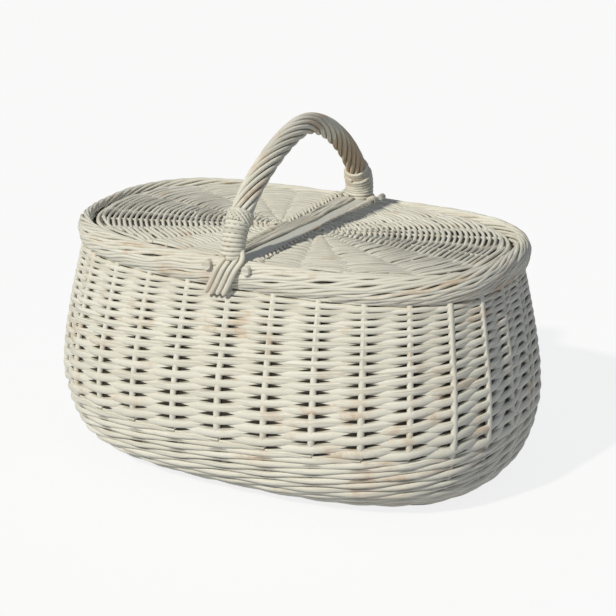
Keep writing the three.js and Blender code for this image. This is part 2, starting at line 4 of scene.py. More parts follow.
import bmesh
import bpy
import numpy as np
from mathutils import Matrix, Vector


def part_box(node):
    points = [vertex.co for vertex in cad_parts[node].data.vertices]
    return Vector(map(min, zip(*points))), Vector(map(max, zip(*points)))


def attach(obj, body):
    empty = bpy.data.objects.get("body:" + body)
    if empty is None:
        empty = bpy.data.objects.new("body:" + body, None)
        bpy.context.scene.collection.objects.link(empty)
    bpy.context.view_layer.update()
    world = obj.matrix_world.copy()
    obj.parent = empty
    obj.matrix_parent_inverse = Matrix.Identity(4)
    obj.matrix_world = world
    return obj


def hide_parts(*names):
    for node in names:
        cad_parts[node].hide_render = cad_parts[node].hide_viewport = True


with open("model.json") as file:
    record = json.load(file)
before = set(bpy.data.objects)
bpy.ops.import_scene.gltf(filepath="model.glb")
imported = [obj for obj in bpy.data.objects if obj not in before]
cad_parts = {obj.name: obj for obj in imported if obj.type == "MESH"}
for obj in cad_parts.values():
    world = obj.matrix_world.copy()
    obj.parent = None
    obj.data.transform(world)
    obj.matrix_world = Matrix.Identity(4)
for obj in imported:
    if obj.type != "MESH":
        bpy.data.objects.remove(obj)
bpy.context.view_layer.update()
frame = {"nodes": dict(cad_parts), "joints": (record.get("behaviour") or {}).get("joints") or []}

bl_info = {
    "name": "Willow picnic basket",
    "version": (1, 0, 0),
    "blender": (4, 5, 0),
    "location": "3D View > Sidebar > Basket",
    "description": "Weaves a lidded oval willow basket round its solids",
    "category": "Object",
}

hinge = next(joint for joint in frame["joints"] if joint["child"] == "lid_right")
hinge_x, _, hinge_z = hinge["pos_m"]
hub = np.array([hinge_x, 0.0, hinge_z])
border_low, border_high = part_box("border")
crown_z = border_high.z
slat_low, slat_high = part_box("slat")

UP = (0, 0, 1)
PAINTED_SHADE_ROW = {"row": 1, "tone": 0.2}  # an odd row lies deep: painted shade makes it near black
STAKE_PLACE = 0.5  # of a stake in its spacing
SHORT_OF_LAST = 0.4  # rows from the end of a climbing rod to the last row
RODS_IN_WALE = 3


# Properties

def length(name, description, millimetres):
    """A length of the basket, kept in metres."""
    return bpy.props.FloatProperty(
        name=name, description=description, default=millimetres / 1000, unit="LENGTH", precision=4)


def two_lengths(name, description, first, second):
    """Two lengths that go together, kept in metres."""
    return bpy.props.FloatVectorProperty(
        name=name, description=description, size=2, default=(first / 1000, second / 1000), unit="LENGTH")


def angle(name, description, degrees):
    return bpy.props.FloatProperty(
        name=name, description=description, default=math.radians(degrees), subtype="ANGLE")


def count(name, description, default):
    return bpy.props.IntProperty(name=name, description=description, default=default, min=1)


def number(name, description, default):
    return bpy.props.FloatProperty(name=name, description=description, default=default)


def colour(name, description, default):
    return bpy.props.FloatVectorProperty(
        name=name, description=description, subtype="COLOR", size=3, default=default, min=0, max=1)


class BasketSizes(bpy.types.PropertyGroup):
    """Sizes of the woven pieces."""

    oval_power: number("Oval power", "2 is an ellipse, more is squarer", 2.65)
    foot: two_lengths("Foot", "Length and width of the wall at the floor", 365, 211)
    heel: two_lengths("Heel", "Length and width of the wall where it turns up", 436, 288)
    heel_height: length("Heel height", "Height of the heel", 24)
    belly: two_lengths("Belly", "Length and width of the wall at its widest", 463, 320)
    belly_height: length("Belly height", "Height of the belly", 85)
    neck: two_lengths("Neck", "Length and width of the wall under the border", 431, 264)
    neck_height: length("Neck height", "Height of the neck", 204)
    rim: two_lengths("Rim", "Length and width of the border", 446, 275)
    rim_dip: length("Rim dip", "How far the border's crown sinks at the far foot of the handle", 4.5)
    end_slim: length("End slim", "How much slimmer the border is at the left end", 7)

    stakes: count("Stakes", "Upright stakes round the wall", 30)
    end_crowding: number("End crowding", "How much closer the stakes stand at the ends", 0.2)
    stake_girth: length("Stake girth", "Radius of a stake", 3.3)
    weave_depth: length("Weave depth", "From the face of the wall to the middle of a stake", 1.9)
    shoulder_lift: length("Shoulder lift", "How far the stakes at the right shoulder stand out", 0.8)
    rod_depth: length("Rod depth", "From the face of the wall to the middle of the weave", 2.7)
    weave_wave: length("Weave wave", "How far a weaver swings in front of a stake", 2.3)
    rows: count("Rows", "Weavers above each other in the wall", 30)
    low_pitch: length("Low pitch", "Height of a row above the foot band", 6.4)
    high_pitch: length("High pitch", "Height of a row under the border", 2.5)
    weave_low: length("Weave low", "Height of the lowest row", 69)
    foot_rows: count("Foot rows", "Rods above each other in the foot band", 14)
    foot_low: length("Foot low", "Height of the lowest row of the foot band", 4.2)
    foot_high: length("Foot high", "Height of the highest row of the foot band", 63)
    wale_girth: length("Wale girth", "Radius of a rod in the foot band", 2.75)
    border_girth: length("Border girth", "Radius of a border rod", 2.0)

    lid_rows: count("Lid rows", "Rows of weavers in a lid", 62)
    rib_step: angle("Rib step", "Angle between the ribs of a lid", 20)
    lid_oval: number("Lid oval", "0 weaves the rows of a lid as circles, 1 along its edge", 0.45)
    lid_girth: length("Lid girth", "Radius of a weaver in a lid", 1.62)
    lid_inset: length("Lid inset", "From the outside of the border to the weave of a lid", 26.0)
    edge_inset: length("Edge inset", "From the outside of the border to the edge stick", 21.7)
    edge_girth: length("Edge girth", "Radius of an edge stick", 2.0)
    stick_girth: length("Stick girth", "Radius of a hinge stick", 2.5)
    twist_girth: length("Twist girth", "Radius of a weaver's end, twisted along a hinge stick", 1.5)
    cut_ends: two_lengths("Cut ends", "Radius of the near end of the left and right hinge stick", 5.0, 4.4)
    hinge_reach: length("Hinge reach", "Half the length of a hinge stick", 139.5)

    handle_rise: length("Handle rise", "From the crown of the border to the middle of the arch", 94.5)
    handle_lean: angle("Handle lean", "Lean towards the right lid", 2.8)
    handle_skew: length("Handle skew", "How far the arch leans to the near side", 0.8)
    handle_spread: length("Handle spread", "Half the distance between the feet", 127)
    hip_rise: two_lengths("Hip rise", "Pull of the near and of the far leg on the arch", 54, 34)
    crown_reach: two_lengths("Crown reach", "Pull of the level top on the near and far side", 38, 54)
    strands: count("Strands", "Rods laid round the handle", 10)
    strand_girth: length("Strand girth", "Radius of a handle rod", 2.05)
    lay_radius: length("Lay radius", "From the middle of the handle to a rod", 8.25)
    lay_pitch: length("Lay pitch", "Length of handle for one turn of a rod", 145)
    near_lift: length("Near lift", "From the border's crown to the first turn of the near binding", 1.5)
    far_lift: length("Far lift", "From the border's crown to the first turn of the far binding", -5.5)
    binding_tops: two_lengths("Binding tops", "From the border's crown to the top of each binding", 40, 27)
    turn_pitch: length("Turn pitch", "Length of handle for one turn of cane", 3.6)
    cane_girth: length("Cane girth", "Radius of the cane", 1.95)


class BasketFinish(bpy.types.PropertyGroup):
    """Colours of the paint, of what shows through it and of the painted shade deep in the weave."""

    paint: colour("Paint", "Worn off-white paint", (0.700, 0.674, 0.580))
    chalk: colour("Chalk", "Paler, fuller paint", (0.800, 0.778, 0.695))
    streak: colour("Streak", "Thin paint in a line along a rod", (0.480, 0.450, 0.375))
    bare: colour("Bare wood", "Peeled willow where the paint is thin", (0.560, 0.410, 0.270))
    rust: colour("Bark stain", "Pinkish stain on rubbed rods", (0.560, 0.330, 0.230))
    # Near black: painted shade deep in the weave, with the rods' darker bare wood there
    shade: colour("Deep_shade", "Dust and bare wood deep in the weave", (0.020, 0.016, 0.011))
    board: colour("Board", "Paint on the slat", (0.600, 0.610, 0.585))


class BasketView(bpy.types.PropertyGroup):
    """Camera and light."""

    azimuth: angle("Azimuth", "Turn of the camera round the basket", 28)
    elevation: angle("Elevation", "Rise of the camera", 18.8)
    distance: length("Distance", "Camera to its target", 2000)
    lens: number("Lens", "Focal length on a 36 mm sensor", 121.9)
    target_height: length("Target height", "Height of the camera's target", 144)
    target_side: length("Target side", "Target to the right of the basket's middle", 8.4)
    sun_azimuth: angle("Sun azimuth", "Turn of the key light", -14)
    sun_elevation: angle("Sun elevation", "Rise of the key light", 39)
    sun_strength: number("Sun strength", "Key light", 2.72)
    sun_colour: colour("Sun colour", "Colour of the key light", (1.0, 0.968, 0.86))
    sky_strength: number("Sky strength", "Fill light", 0.225)
    sky_colour: colour("Sky colour", "Colour of the fill light", (0.76, 0.85, 1.0))
    top_strength: number("Top strength", "Soft light overhead", 3.4)
    top_colour: colour("Top colour", "Colour of the soft light overhead", (0.84, 0.91, 1.0))


# Node trees

def math_node(operation, reflected=False):
    """An operator of Wire, which adds a Math node."""
    def applied(wire, other):
        return wire.bench.math(operation, *((other, wire) if reflected else (wire, other)))
    return applied


class Wire:
    """An output in a Python expression. Each operator adds the Math node that it stands for."""

    def __init__(self, bench, socket):
        self.bench = bench
        self.socket = socket

    def also(self, out):
        """Another output of the same node."""
        return Wire(self.bench, self.socket.node.outputs[out])

    __add__ = math_node("ADD")
    __radd__ = math_node("ADD", reflected=True)
    __sub__ = math_node("SUBTRACT")
    __rsub__ = math_node("SUBTRACT", reflected=True)
    __mul__ = math_node("MULTIPLY")
    __rmul__ = math_node("MULTIPLY", reflected=True)
    __truediv__ = math_node("DIVIDE")
    __rtruediv__ = math_node("DIVIDE", reflected=True)


class Bench:
    """A node tree that is being put together."""

    def __init__(self, tree):
        self.tree = tree

    def node(self, kind, sockets=None, out=0, **settings):
        """Adds a node: its settings come first, then the values or links of its sockets."""
        made = self.tree.nodes.new(kind)
        for key, value in settings.items():
            setattr(made, key, value)
        for key, value in (sockets or {}).items():
            if isinstance(value, Wire):
                self.tree.links.new(value.socket, made.inputs[key])
            else:
                made.inputs[key].default_value = value
        return Wire(self, made.outputs[out])

    def math(self, operation, *terms):
        return self.node("ShaderNodeMath", dict(enumerate(terms)), operation=operation)

    def vector(self, operation, *terms):
        return self.node("ShaderNodeVectorMath", dict(enumerate(terms)), operation=operation)

    def scaled(self, vector, amount):
        return self.node("ShaderNodeVectorMath", {0: vector, "Scale": amount}, operation="SCALE")

    def joined(self, *terms):
        return self.node("ShaderNodeCombineXYZ", dict(enumerate(terms)))

    def split(self, vector):
        return self.node("ShaderNodeSeparateXYZ", {0: vector})

    def noise(self, at, scale, detail=1.0, roughness=0.5, out=0, shifted=None):
        """Noise at a place. What it is shifted by gives each rod noise of its own."""
        sockets = {"Vector": at, "Scale": scale, "Detail": detail, "Roughness": roughness}
        if shifted is None:
            return self.node("ShaderNodeTexNoise", sockets, out)
        return self.node("ShaderNodeTexNoise", {"W": shifted, **sockets}, out, noise_dimensions="4D")

    def ranged(self, value, low, high, **settings):
        """0 up to a low value, 1 from a high value on."""
        return self.node("ShaderNodeMapRange", {0: value, 1: low, 2: high}, **settings)

    def blend(self, amount, first, second):
        """A mix of two colours."""
        first, second = (c if isinstance(c, Wire) else (*c, 1) for c in (first, second))
        return self.node("ShaderNodeMix", {0: amount, 6: first, 7: second}, out=2, data_type="RGBA")

    def attribute(self, name, out=2):
        """What a mesh carries under a name, for a material."""
        return self.node("ShaderNodeAttribute", out=out, attribute_name=name)

    def carried(self, name, kind="FLOAT"):
        """What the points of the guides carry under a name."""
        return self.node("GeometryNodeInputNamedAttribute", {"Name": name}, data_type=kind)

    def kept(self, geometry, name, value, kind="FLOAT"):
        """The geometry with a value kept on its points under a name."""
        return self.node(
            "GeometryNodeStoreNamedAttribute",
            {"Geometry": geometry, "Name": name, "Value": value}, data_type=kind, domain="POINT")

    def curves(self, guides):
        return self.node("GeometryNodeMeshToCurve", {"Mesh": guides})

    def position(self):
        return self.node("GeometryNodeInputPosition")


SOCKETS = {int: "NodeSocketInt", float: "NodeSocketFloat", tuple: "NodeSocketVector"}


def new_tree(name, inputs):
    """A Geometry Nodes tree with named inputs, and the wires that bring them in."""
    tree = bpy.data.node_groups.new(name, "GeometryNodeTree")
    tree.interface.new_socket("Geometry", in_out="INPUT", socket_type="NodeSocketGeometry")
    for label, default in inputs.items():
        item = tree.interface.new_socket(label, in_out="INPUT", socket_type=SOCKETS[type(default)])
        item.default_value = default
    tree.interface.new_socket("Material", in_out="INPUT", socket_type="NodeSocketMaterial")
    tree.interface.new_socket("Geometry", in_out="OUTPUT", socket_type="NodeSocketGeometry")
    bench = Bench(tree)
    entry = tree.nodes.new("NodeGroupInput")
    return bench, {socket.name: Wire(bench, socket) for socket in entry.outputs if socket.name}


def sweep_out(bench, curve, offset, given):
    """Moves the points of a curve, sweeps round rods along it and ends the tree."""
    curve = bench.node("GeometryNodeSetPosition", {"Geometry": curve, "Offset": offset})
    ring = bench.node(
        "GeometryNodeCurvePrimitiveCircle", {"Resolution": given["Sides"], "Radius": 1.0}, mode="RADIUS")
    ring = bench.kept(ring, "round", bench.position(), "FLOAT_VECTOR")
    if "Flatness" in given:
        squeeze = bench.joined(given["Flatness"], 1.0, 1.0)
        ring = bench.node("GeometryNodeTransform", {"Geometry": ring, "Scale": squeeze})
        curve = bench.node("GeometryNodeSetCurveNormal", {"Curve": curve}, mode="Z_UP")
    mesh = bench.node("GeometryNodeCurveToMesh", {
        "Curve": curve, "Profile Curve": ring, "Scale": bench.carried("thick"), "Fill Caps": True})
    mesh = bench.node("GeometryNodeSetShadeSmooth", {"Geometry": mesh})
    mesh = bench.node("GeometryNodeRealizeInstances", {"Geometry": mesh})
    mesh = bench.node("GeometryNodeSetMaterial", {"Geometry": mesh, "Material": given["Material"]})
    leave = bench.tree.nodes.new("NodeGroupOutput")
    bench.tree.links.new(mesh.socket, leave.inputs[0])


def rod_tree(flattened):
    """Rods along guide lines, which swing in front of and behind what they are woven on."""
    name = "Flattened rods" if flattened else "Willow rods"
    if name in bpy.data.node_groups:
        return bpy.data.node_groups[name]
    inputs = {
        "Sides": 8, "Wave": 0.0, "Crossings": 2.0, "Row shift": 0.5, "Lift": 0.0, "Wander": 0.0,
        "Unevenness": 0.08, "Sharpness": 0.08, "Seed": 0.0}
    if flattened:
        inputs["Flatness"] = 0.7
    bench, given = new_tree(name, inputs)
    curve = bench.curves(given["Geometry"])
    row = bench.carried("row")
    phase = (bench.carried("place") / given["Crossings"] + row * given["Row shift"]) * math.tau
    bend = bench.math("COSINE", phase * 3.0) * given["Sharpness"]
    swing = bench.math("COSINE", phase) + bend
    lift = bench.math("SINE", phase) * given["Lift"]
    drift = bench.split(bench.noise(bench.position(), 26.0, out=1, shifted=row * 7.31 + given["Seed"]))
    inward = (drift - 0.5) * given["Wander"]
    upward = (drift.also(1) - 0.5) * given["Wander"] * 2.0
    offset = bench.vector(
        "ADD",
        bench.scaled(bench.carried("outward", "FLOAT_VECTOR"), swing * given["Wave"] + inward),
        bench.scaled(bench.carried("rise", "FLOAT_VECTOR"), lift + upward))
    girth = bench.carried("girth") * ((drift.also(2) - 0.5) * given["Unevenness"] * 2.0 + 1.0)
    # How far back a rod swings, which the finishes turn into painted shade
    curve = bench.kept(curve, "deep", (1.0 - swing) * 0.5)
    curve = bench.kept(curve, "along", bench.node("GeometryNodeSplineParameter", out=1))
    curve = bench.kept(curve, "thick", girth)
    sweep_out(bench, curve, offset, given)
    return bench.tree


def laid_round(bench, curve, turned, noise, given):
    """Lays a curve round its own line, turned by an angle at each point, and ends the tree."""
    tangent = bench.node("GeometryNodeInputTangent")
    outward = bench.vector("CROSS_PRODUCT", given["Across"], tangent)
    uneven = (noise - 0.5) * given["Unevenness"]
    reach = given["Lay radius"] * (uneven + 1.0)
    offset = bench.vector(
        "ADD",
        bench.scaled(outward, bench.math("COSINE", turned) * reach),
        bench.scaled(given["Across"], bench.math("SINE", turned) * reach))
    curve = bench.kept(curve, "thick", given["Girth"] * (uneven * 2.0 + 1.0))
    sweep_out(bench, curve, offset, given)
    return bench.tree


def strand_tree():
    """Strands laid round a line, with a turn for each pitch."""
    name = "Laid strands"
    if name in bpy.data.node_groups:
        return bpy.data.node_groups[name]
    bench, given = new_tree(name, {
        "Sides": 8, "Strands": 10, "Pitch": 0.1, "Lay radius": 0.008, "Girth": 0.003,
        "Across": (1, 0, 0), "Unevenness": 0.08, "Seed": 0})
    copies = bench.node(
        "GeometryNodeDuplicateElements",
        {"Geometry": bench.curves(given["Geometry"]), "Amount": given["Strands"]}, domain="SPLINE")
    strand = copies.also(1)
    along = bench.node("GeometryNodeSplineParameter", out=1)
    turned = (strand / given["Strands"] + along / given["Pitch"]) * math.tau
    noise = bench.noise(bench.position(), 22.0, shifted=strand * 3.7 + given["Seed"])
    tone = bench.node("FunctionNodeRandomValue", {"ID": strand, "Seed": given["Seed"]}, out=1)
    curve = bench.kept(copies, "along", along)
    curve = bench.kept(curve, "tone", tone)
    return laid_round(bench, curve, turned, noise, given)


def coil_tree():
    """One strand wound round a line in close turns."""
    name = "Wound cane"
    if name in bpy.data.node_groups:
        return bpy.data.node_groups[name]
    bench, given = new_tree(name, {
        "Sides": 8, "Turns": 12.0, "Steps": 300, "Lay radius": 0.012, "Girth": 0.002,
        "Across": (1, 0, 0), "Unevenness": 0.06})
    curve = bench.node("GeometryNodeResampleCurve", {
        "Curve": bench.curves(given["Geometry"]), "Count": given["Steps"]})
    turned = bench.node("GeometryNodeSplineParameter") * given["Turns"] * math.tau
    noise = bench.noise(bench.position(), 60.0, shifted=turned * 0.3)
    curve = bench.kept(curve, "along", turned * given["Lay radius"])
    return laid_round(bench, curve, turned, noise, given)


def placed(name, data):
    """A new object in the scene."""
    thing = bpy.data.objects.new(name, data)
    bpy.context.scene.collection.objects.link(thing)
    return thing


def woven(name, guides, finish, *nodes, tree=None, body="basket", slot="painted_willow", **inputs):
    """A piece that a tree grows from guides, as a plain mesh, in place of its solids."""
    tree = tree or rod_tree(flattened="flatness" in inputs)
    lines = guides.mesh()
    piece = placed(name, lines)
    modifier = piece.modifiers.new("Grow", "NODES")
    modifier.node_group = tree
    sockets = {item.name: item.identifier for item in tree.interface.items_tree if item.in_out == "INPUT"}
    for label, value in {**inputs, "material": willow(finish)}.items():
        modifier[sockets[label.replace("_", " ").capitalize()]] = value
    depsgraph = bpy.context.evaluated_depsgraph_get()
    plain = bpy.data.meshes.new_from_object(
        piece.evaluated_get(depsgraph), preserve_all_data_layers=True, depsgraph=depsgraph)
    piece.modifiers.clear()
    piece.data = plain
    plain.name = name
    bpy.data.meshes.remove(lines)
    settle(piece, body, slot, *nodes)


def settle(piece, body, slot, *nodes):
    """Puts a finished piece on its body, in place of its solids."""
    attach(piece, body)
    if nodes:
        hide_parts(*nodes)


# Lines that the pieces follow

def unit(vectors):
    return vectors / np.linalg.norm(vectors, axis=-1, keepdims=True)


def distances(line):
    """How far along a line each of its points lies."""
    return np.concatenate([[0], np.cumsum(np.linalg.norm(np.diff(line, axis=0), axis=1))])


def smoothed(line):
    """A line whose points, apart from its ends, are drawn towards their neighbours."""
    return np.vstack([line[:1], (line[:-2] + 2 * line[1:-1] + line[2:]) / 4, line[-1:]])


def points_at(x, y, z):
    """Points from their coordinates, each a number or an array."""
    return np.stack(np.broadcast_arrays(x, y, z), -1)


def drawn_through(at, knots_at, knots):
    """Points on straight stretches between knots."""
    return np.stack([np.interp(at, knots_at, knots[:, axis]) for axis in range(3)], -1)


class Guides:
    """Lines for rods to follow, and what each of their points carries."""

    def __init__(self):
        self.points = []
        self.edges = []
        self.carried = {"outward": [], "rise": [], "place": [], "row": [], "girth": [], "tone": []}
        self.total = 0

    def add(self, points, girth=0.0, outward=UP, place=0.0, row=0.0, tone=0.5, closed=False):
        points = np.asarray(points, float)
        amount = len(points)
        numbers = np.arange(amount) + self.total
        pairs = np.stack([numbers, np.roll(numbers, -1)], 1)
        outward = np.broadcast_to(np.asarray(outward, float), (amount, 3))
        if closed:
            along = np.roll(points, -1, 0) - np.roll(points, 1, 0)
        else:
            along = np.gradient(points, axis=0)
        self.points.append(points)
        self.edges.append(pairs if closed else pairs[:-1])
        self.carried["outward"].append(outward)
        self.carried["rise"].append(unit(np.cross(outward, unit(along))))
        for name, value in (("place", place), ("row", row), ("girth", girth), ("tone", tone)):
            self.carried[name].append(np.broadcast_to(np.asarray(value, float), (amount,)))
        self.total += amount
        return self

    def mesh(self):
        mesh = bpy.data.meshes.new("guides")
        mesh.from_pydata(np.concatenate(self.points).tolist(), np.concatenate(self.edges).tolist(), [])
        for label, values in self.carried.items():
            flat = np.concatenate(values).astype(np.float32)
            is_vector = flat.ndim == 2
            layer = mesh.attributes.new(label, "FLOAT_VECTOR" if is_vector else "FLOAT", "POINT")
            layer.data.foreach_set("vector" if is_vector else "value", flat.ravel())
        return mesh


class BasketForm:
    """The curves that the basket's pieces follow, in metres."""

    steps = 1440  # angles round an oval
    samples = 80  # levels between two knots of the wall's profile
    probe = (0.02, 0.001)  # stake spacings and height between which the wall's slope is taken
    slim_inset = 0.0146  # inset at which the border is as slim at its left end as elsewhere
    dip_spread = math.radians(50)  # to each side of the lowest place of the border's crown
    skewed_share = 0.7  # of the handle's rise, over which it comes to lean
    buried = 0.03  # length of a leg of the handle below the border's crown

    def __init__(self):
        self.sizes = bpy.context.scene.basket_sizes
        self.levels = self.profile()
        self.angles = np.linspace(0, math.tau, self.steps + 1)
        belly = np.array(self.sizes.belly) / 2
        ring = self.oval(belly[0], belly[1], self.angles, 0.0)
        middle = (ring[1:] + ring[:-1]) / 2
        run = np.linalg.norm(np.diff(ring, axis=0), axis=1)
        run = run * (1 + self.sizes.end_crowding * (middle[:, 0] / belly[0]) ** 2)
        self.passed = np.concatenate([[0], np.cumsum(run)]) * self.sizes.stakes / run.sum()

    def profile(self):
        """Half length, half width and height of the wall's outer face, from foot to neck."""
        sizes = self.sizes
        knots = np.array([(long / 2, wide / 2, z) for (long, wide), z in (
            (sizes.foot, 0), (sizes.heel, sizes.heel_height),
            (sizes.belly, sizes.belly_height), (sizes.neck, sizes.neck_height))])
        knots = np.vstack([2 * knots[0] - knots[1], knots, 2 * knots[-1] - knots[-2]])
        levels = []
        for four in zip(knots, knots[1:], knots[2:], knots[3:]):
            gaps = [np.linalg.norm(b - a) ** 0.5 for a, b in zip(four, four[1:])]
            at = np.concatenate([[0], np.cumsum(gaps)])
            for t in np.linspace(at[1], at[2], self.samples, endpoint=False):
                points, reach = list(four), 1
                while len(points) > 1:
                    points = [
                        (a * (at[i + reach] - t) + b * (t - at[i])) / (at[i + reach] - at[i])
                        for i, (a, b) in enumerate(zip(points, points[1:]))]
                    reach += 1
                levels.append(points[0])
        return np.array([*levels, knots[-2]])

    def oval(self, half_length, half_width, turn, z):
        power = 2 / self.sizes.oval_power
        c, s = np.cos(turn), np.sin(turn)
        x = half_length * np.sign(c) * np.abs(c) ** power
        y = half_width * np.sign(s) * np.abs(s) ** power
        return points_at(x, y, z)

    def turn(self, place):
        """Angle of the oval at a place counted in stake spacings."""
        return np.interp(np.mod(place, self.sizes.stakes), self.passed, self.angles)

    def face(self, place, z):
        half_length = np.interp(z, self.levels[:, 2], self.levels[:, 0])
        half_width = np.interp(z, self.levels[:, 2], self.levels[:, 1])
        return self.oval(half_length, half_width, self.turn(place), z)

    def wall(self, place, z, depth):
        """Points under the wall's outer face, and the way out of it."""
        place, z = np.broadcast_arrays(np.asarray(place, float), np.asarray(z, float))
        aside, above = self.probe
        along = self.face(place + aside, z) - self.face(place - aside, z)
        upward = self.face(place, z + above) - self.face(place, z - above)
        outward = unit(np.cross(along, upward))
        return self.face(place, z) - outward * np.asarray(depth, float)[..., None], outward

    def rim(self, place, inset, z):
        """Points of the border, which sinks at the handle's far foot and is slimmer at its left end."""
        half = np.array(self.sizes.rim) / 2
        turn = self.turn(place)
        inset, z = np.asarray(inset, float), np.asarray(z, float)
        fade = np.clip(1 - inset / self.slim_inset, 0, 1)
        slim = self.sizes.end_slim * np.clip(-np.cos(turn), 0, 1) ** 6 * fade
        far = np.clip((turn - math.pi / 2) / self.dip_spread, -1, 1) * math.pi / 2
        share = np.clip((z - border_low.z) / (crown_z - border_low.z), 0, 1)
        dip = self.sizes.rim_dip * np.cos(far) ** 2 * share
        return self.oval(half[0] - inset - slim, half[1] - inset, turn, z - dip)

    def climb(self, low, high, number):
        """Heights that are evenly spread along the wall between two heights."""
        run = distances(self.levels[:, [0, 2]])
        ends = np.interp([low, high], self.levels[:, 2], run)
        return np.interp(np.linspace(ends[0], ends[1], number), run, self.levels[:, 2])

    def lean(self, y, z):
        """Point on the handle's leaning plane."""
        return points_at(math.tan(self.sizes.handle_lean) * (z - crown_z), y, z)

    def across(self):
        """Way through the handle's leaning plane."""
        return tuple(unit(np.array([1.0, 0.0, -math.tan(self.sizes.handle_lean)])))

    def handle(self):
        """Middle line of the handle, from the border's crown over the arch, and distances along it."""
        sizes = self.sizes
        t = np.linspace(0, 1, 90)[:, None]
        top = crown_z + sizes.handle_rise
        weights = np.concatenate([(1 - t) ** 3, 3 * (1 - t) ** 2 * t, 3 * (1 - t) * t * t, t ** 3], 1)
        near, far = (weights @ np.array([
            (-sizes.handle_spread, crown_z), (-sizes.handle_spread, crown_z + hip),
            (-crown, top), (0, top)]) for hip, crown in zip(sizes.hip_rise, sizes.crown_reach))
        both = np.vstack([near, far[-2::-1] * (-1, 1)])
        risen = np.clip((both[:, 1] - crown_z) / sizes.handle_rise / self.skewed_share, 0, 1)
        both[:, 0] -= sizes.handle_skew * np.sin(risen * math.pi / 2) ** 2
        line = self.lean(both[:, 0], both[:, 1])
        return line, distances(line)

    def handle_part(self, start, end, number, from_far=False):
        """A stretch of the handle's middle line, by distances from the crown at one of its feet."""
        line, run = self.handle()
        at = np.linspace(start, end, number)
        if from_far:
            at = np.linspace(run[-1] - start, run[-1] - end, number)
        feet = self.lean(np.array([-1, 1]) * self.sizes.handle_spread, crown_z - self.buried)
        line = np.vstack([feet[:1], line, feet[1:]])
        run = np.concatenate([[-self.buried], run, [run[-1] + self.buried]])
        return drawn_through(at, run, line)


# Finishes

# Each finish's range, taper, tight and depth set its painted shade deep in the weave
WILLOWS = {
    "woven_willow": {"shade_range": (0.57, 0.62), "taper": 0.8, "tight": 0.16},
    "rubbed_willow": {"stain": 0.6, "depth": 0.5, "shade_range": (0.78, 0.92)},
    "rolled_willow": {"wear": 0.6, "stain": 0.45, "depth": 0.0},
    "lid_willow": {"wear": 0.35, "stain": 0.15, "depth": 0.75, "shade_range": (0.52, 0.96), "taper": 0.0},
    "stick_willow": {"wear": 0.6, "stain": 0.35, "depth": 0.0},
    "cut_willow": {"wear": 0.7, "stain": 0.4, "depth": 0.0},
    "handle_willow": {"wear": 0.8, "stain": 0.75, "depth": 0.0, "bare_from": 0.045},
    "wound_cane": {"wear": 0.6, "stain": 0.35, "depth": 0.0},
}


def willow(name):
    """A finish of painted willow, made when it is first asked for."""
    return bpy.data.materials.get(name) or willow_finish(name, **WILLOWS[name])


def finish_bench(name):
    material = bpy.data.materials.new(name)
    material.use_nodes = True
    return material, Bench(material.node_tree)


def finished(material, painted, roughness, bump):
    """The material, once its colour, roughness and bump are joined to its shader."""
    tree = material.node_tree
    shader = tree.nodes["Principled BSDF"]
    for wire, label in ((painted, "Base Color"), (roughness, "Roughness"), (bump, "Normal")):
        tree.links.new(wire.socket, shader.inputs[label])
    return material


def willow_finish(
        name, wear=0.5, stain=0.3, depth=1.0, shade_range=(0.66, 0.73), taper=0.5, bare_from=1.0, tight=0.0):
    """Worn off-white paint on willow rods, with grain along each rod and painted shade deep between them.
    """
    colours = bpy.context.scene.basket_finish
    material, bench = finish_bench(name)
    material.node_tree.nodes["Principled BSDF"].inputs["Specular IOR Level"].default_value = 0.25
    along, tone, deep = (bench.attribute(label) for label in ("along", "tone", "deep"))
    around = bench.split(bench.attribute("round", out=1))
    beside = around.also(1)
    place = bench.node("ShaderNodeTexCoord", out=3)
    spot = bench.split(place)
    grain = bench.noise(
        bench.joined(around + tone * 17.0, beside + tone * 5.0, along * 22.0), 3.2, 4.0, 0.6)
    streak = bench.ranged(bench.noise(bench.joined(0.5, beside * 0.75, along * 6.0), 3.0), 0.55, 0.64)
    patch = bench.noise(place, 34.0, 3.0, 0.62)
    broad = bench.noise(place, 9.0, 2.0)
    fullness = bench.ranged(grain * 0.5 + patch * 0.3 + tone * 0.4, 0.40, 0.78)
    far = bench.ranged(spot.also(1), bare_from, bare_from + 0.05) * 0.3
    thin = patch * 0.6 + grain * 0.35 + tone * 0.22 + broad * 0.25 + far
    rubbed = bench.ranged(thin, 0.86 - 0.16 * wear, 1.02 - 0.16 * wear)
    damp = broad * 0.75 + patch * 0.3 + grain * 0.2
    stained = bench.ranged(damp, 0.80 - 0.1 * stain, 0.96 - 0.1 * stain)
    # Painted shade deep in the weave, narrowing to a rod's edges and, where tight, fading higher up
    high = bench.ranged(spot.also(2), 0.09, 0.18) * tight
    sunk = deep - bench.math("ABSOLUTE", beside) * taper - high
    painted_shade = bench.ranged(sunk, *shade_range, interpolation_type="SMOOTHSTEP")
    painted = bench.blend(fullness, colours.paint, colours.chalk)
    painted = bench.blend(streak * 0.55, painted, colours.streak)
    painted = bench.blend(rubbed * 0.75, painted, colours.bare)
    painted = bench.blend(stained * 0.55 * stain, painted, colours.rust)
    # Painted shade, as strong as the finish's depth
    painted = bench.blend(painted_shade * 0.98 * depth, painted, colours.shade)
    bump = bench.node("ShaderNodeBump", {
        "Strength": 0.35, "Distance": 0.0006, "Height": grain + patch * 0.4})
    return finished(material, painted, 0.44 + grain * 0.22 + rubbed * 0.18, bump)


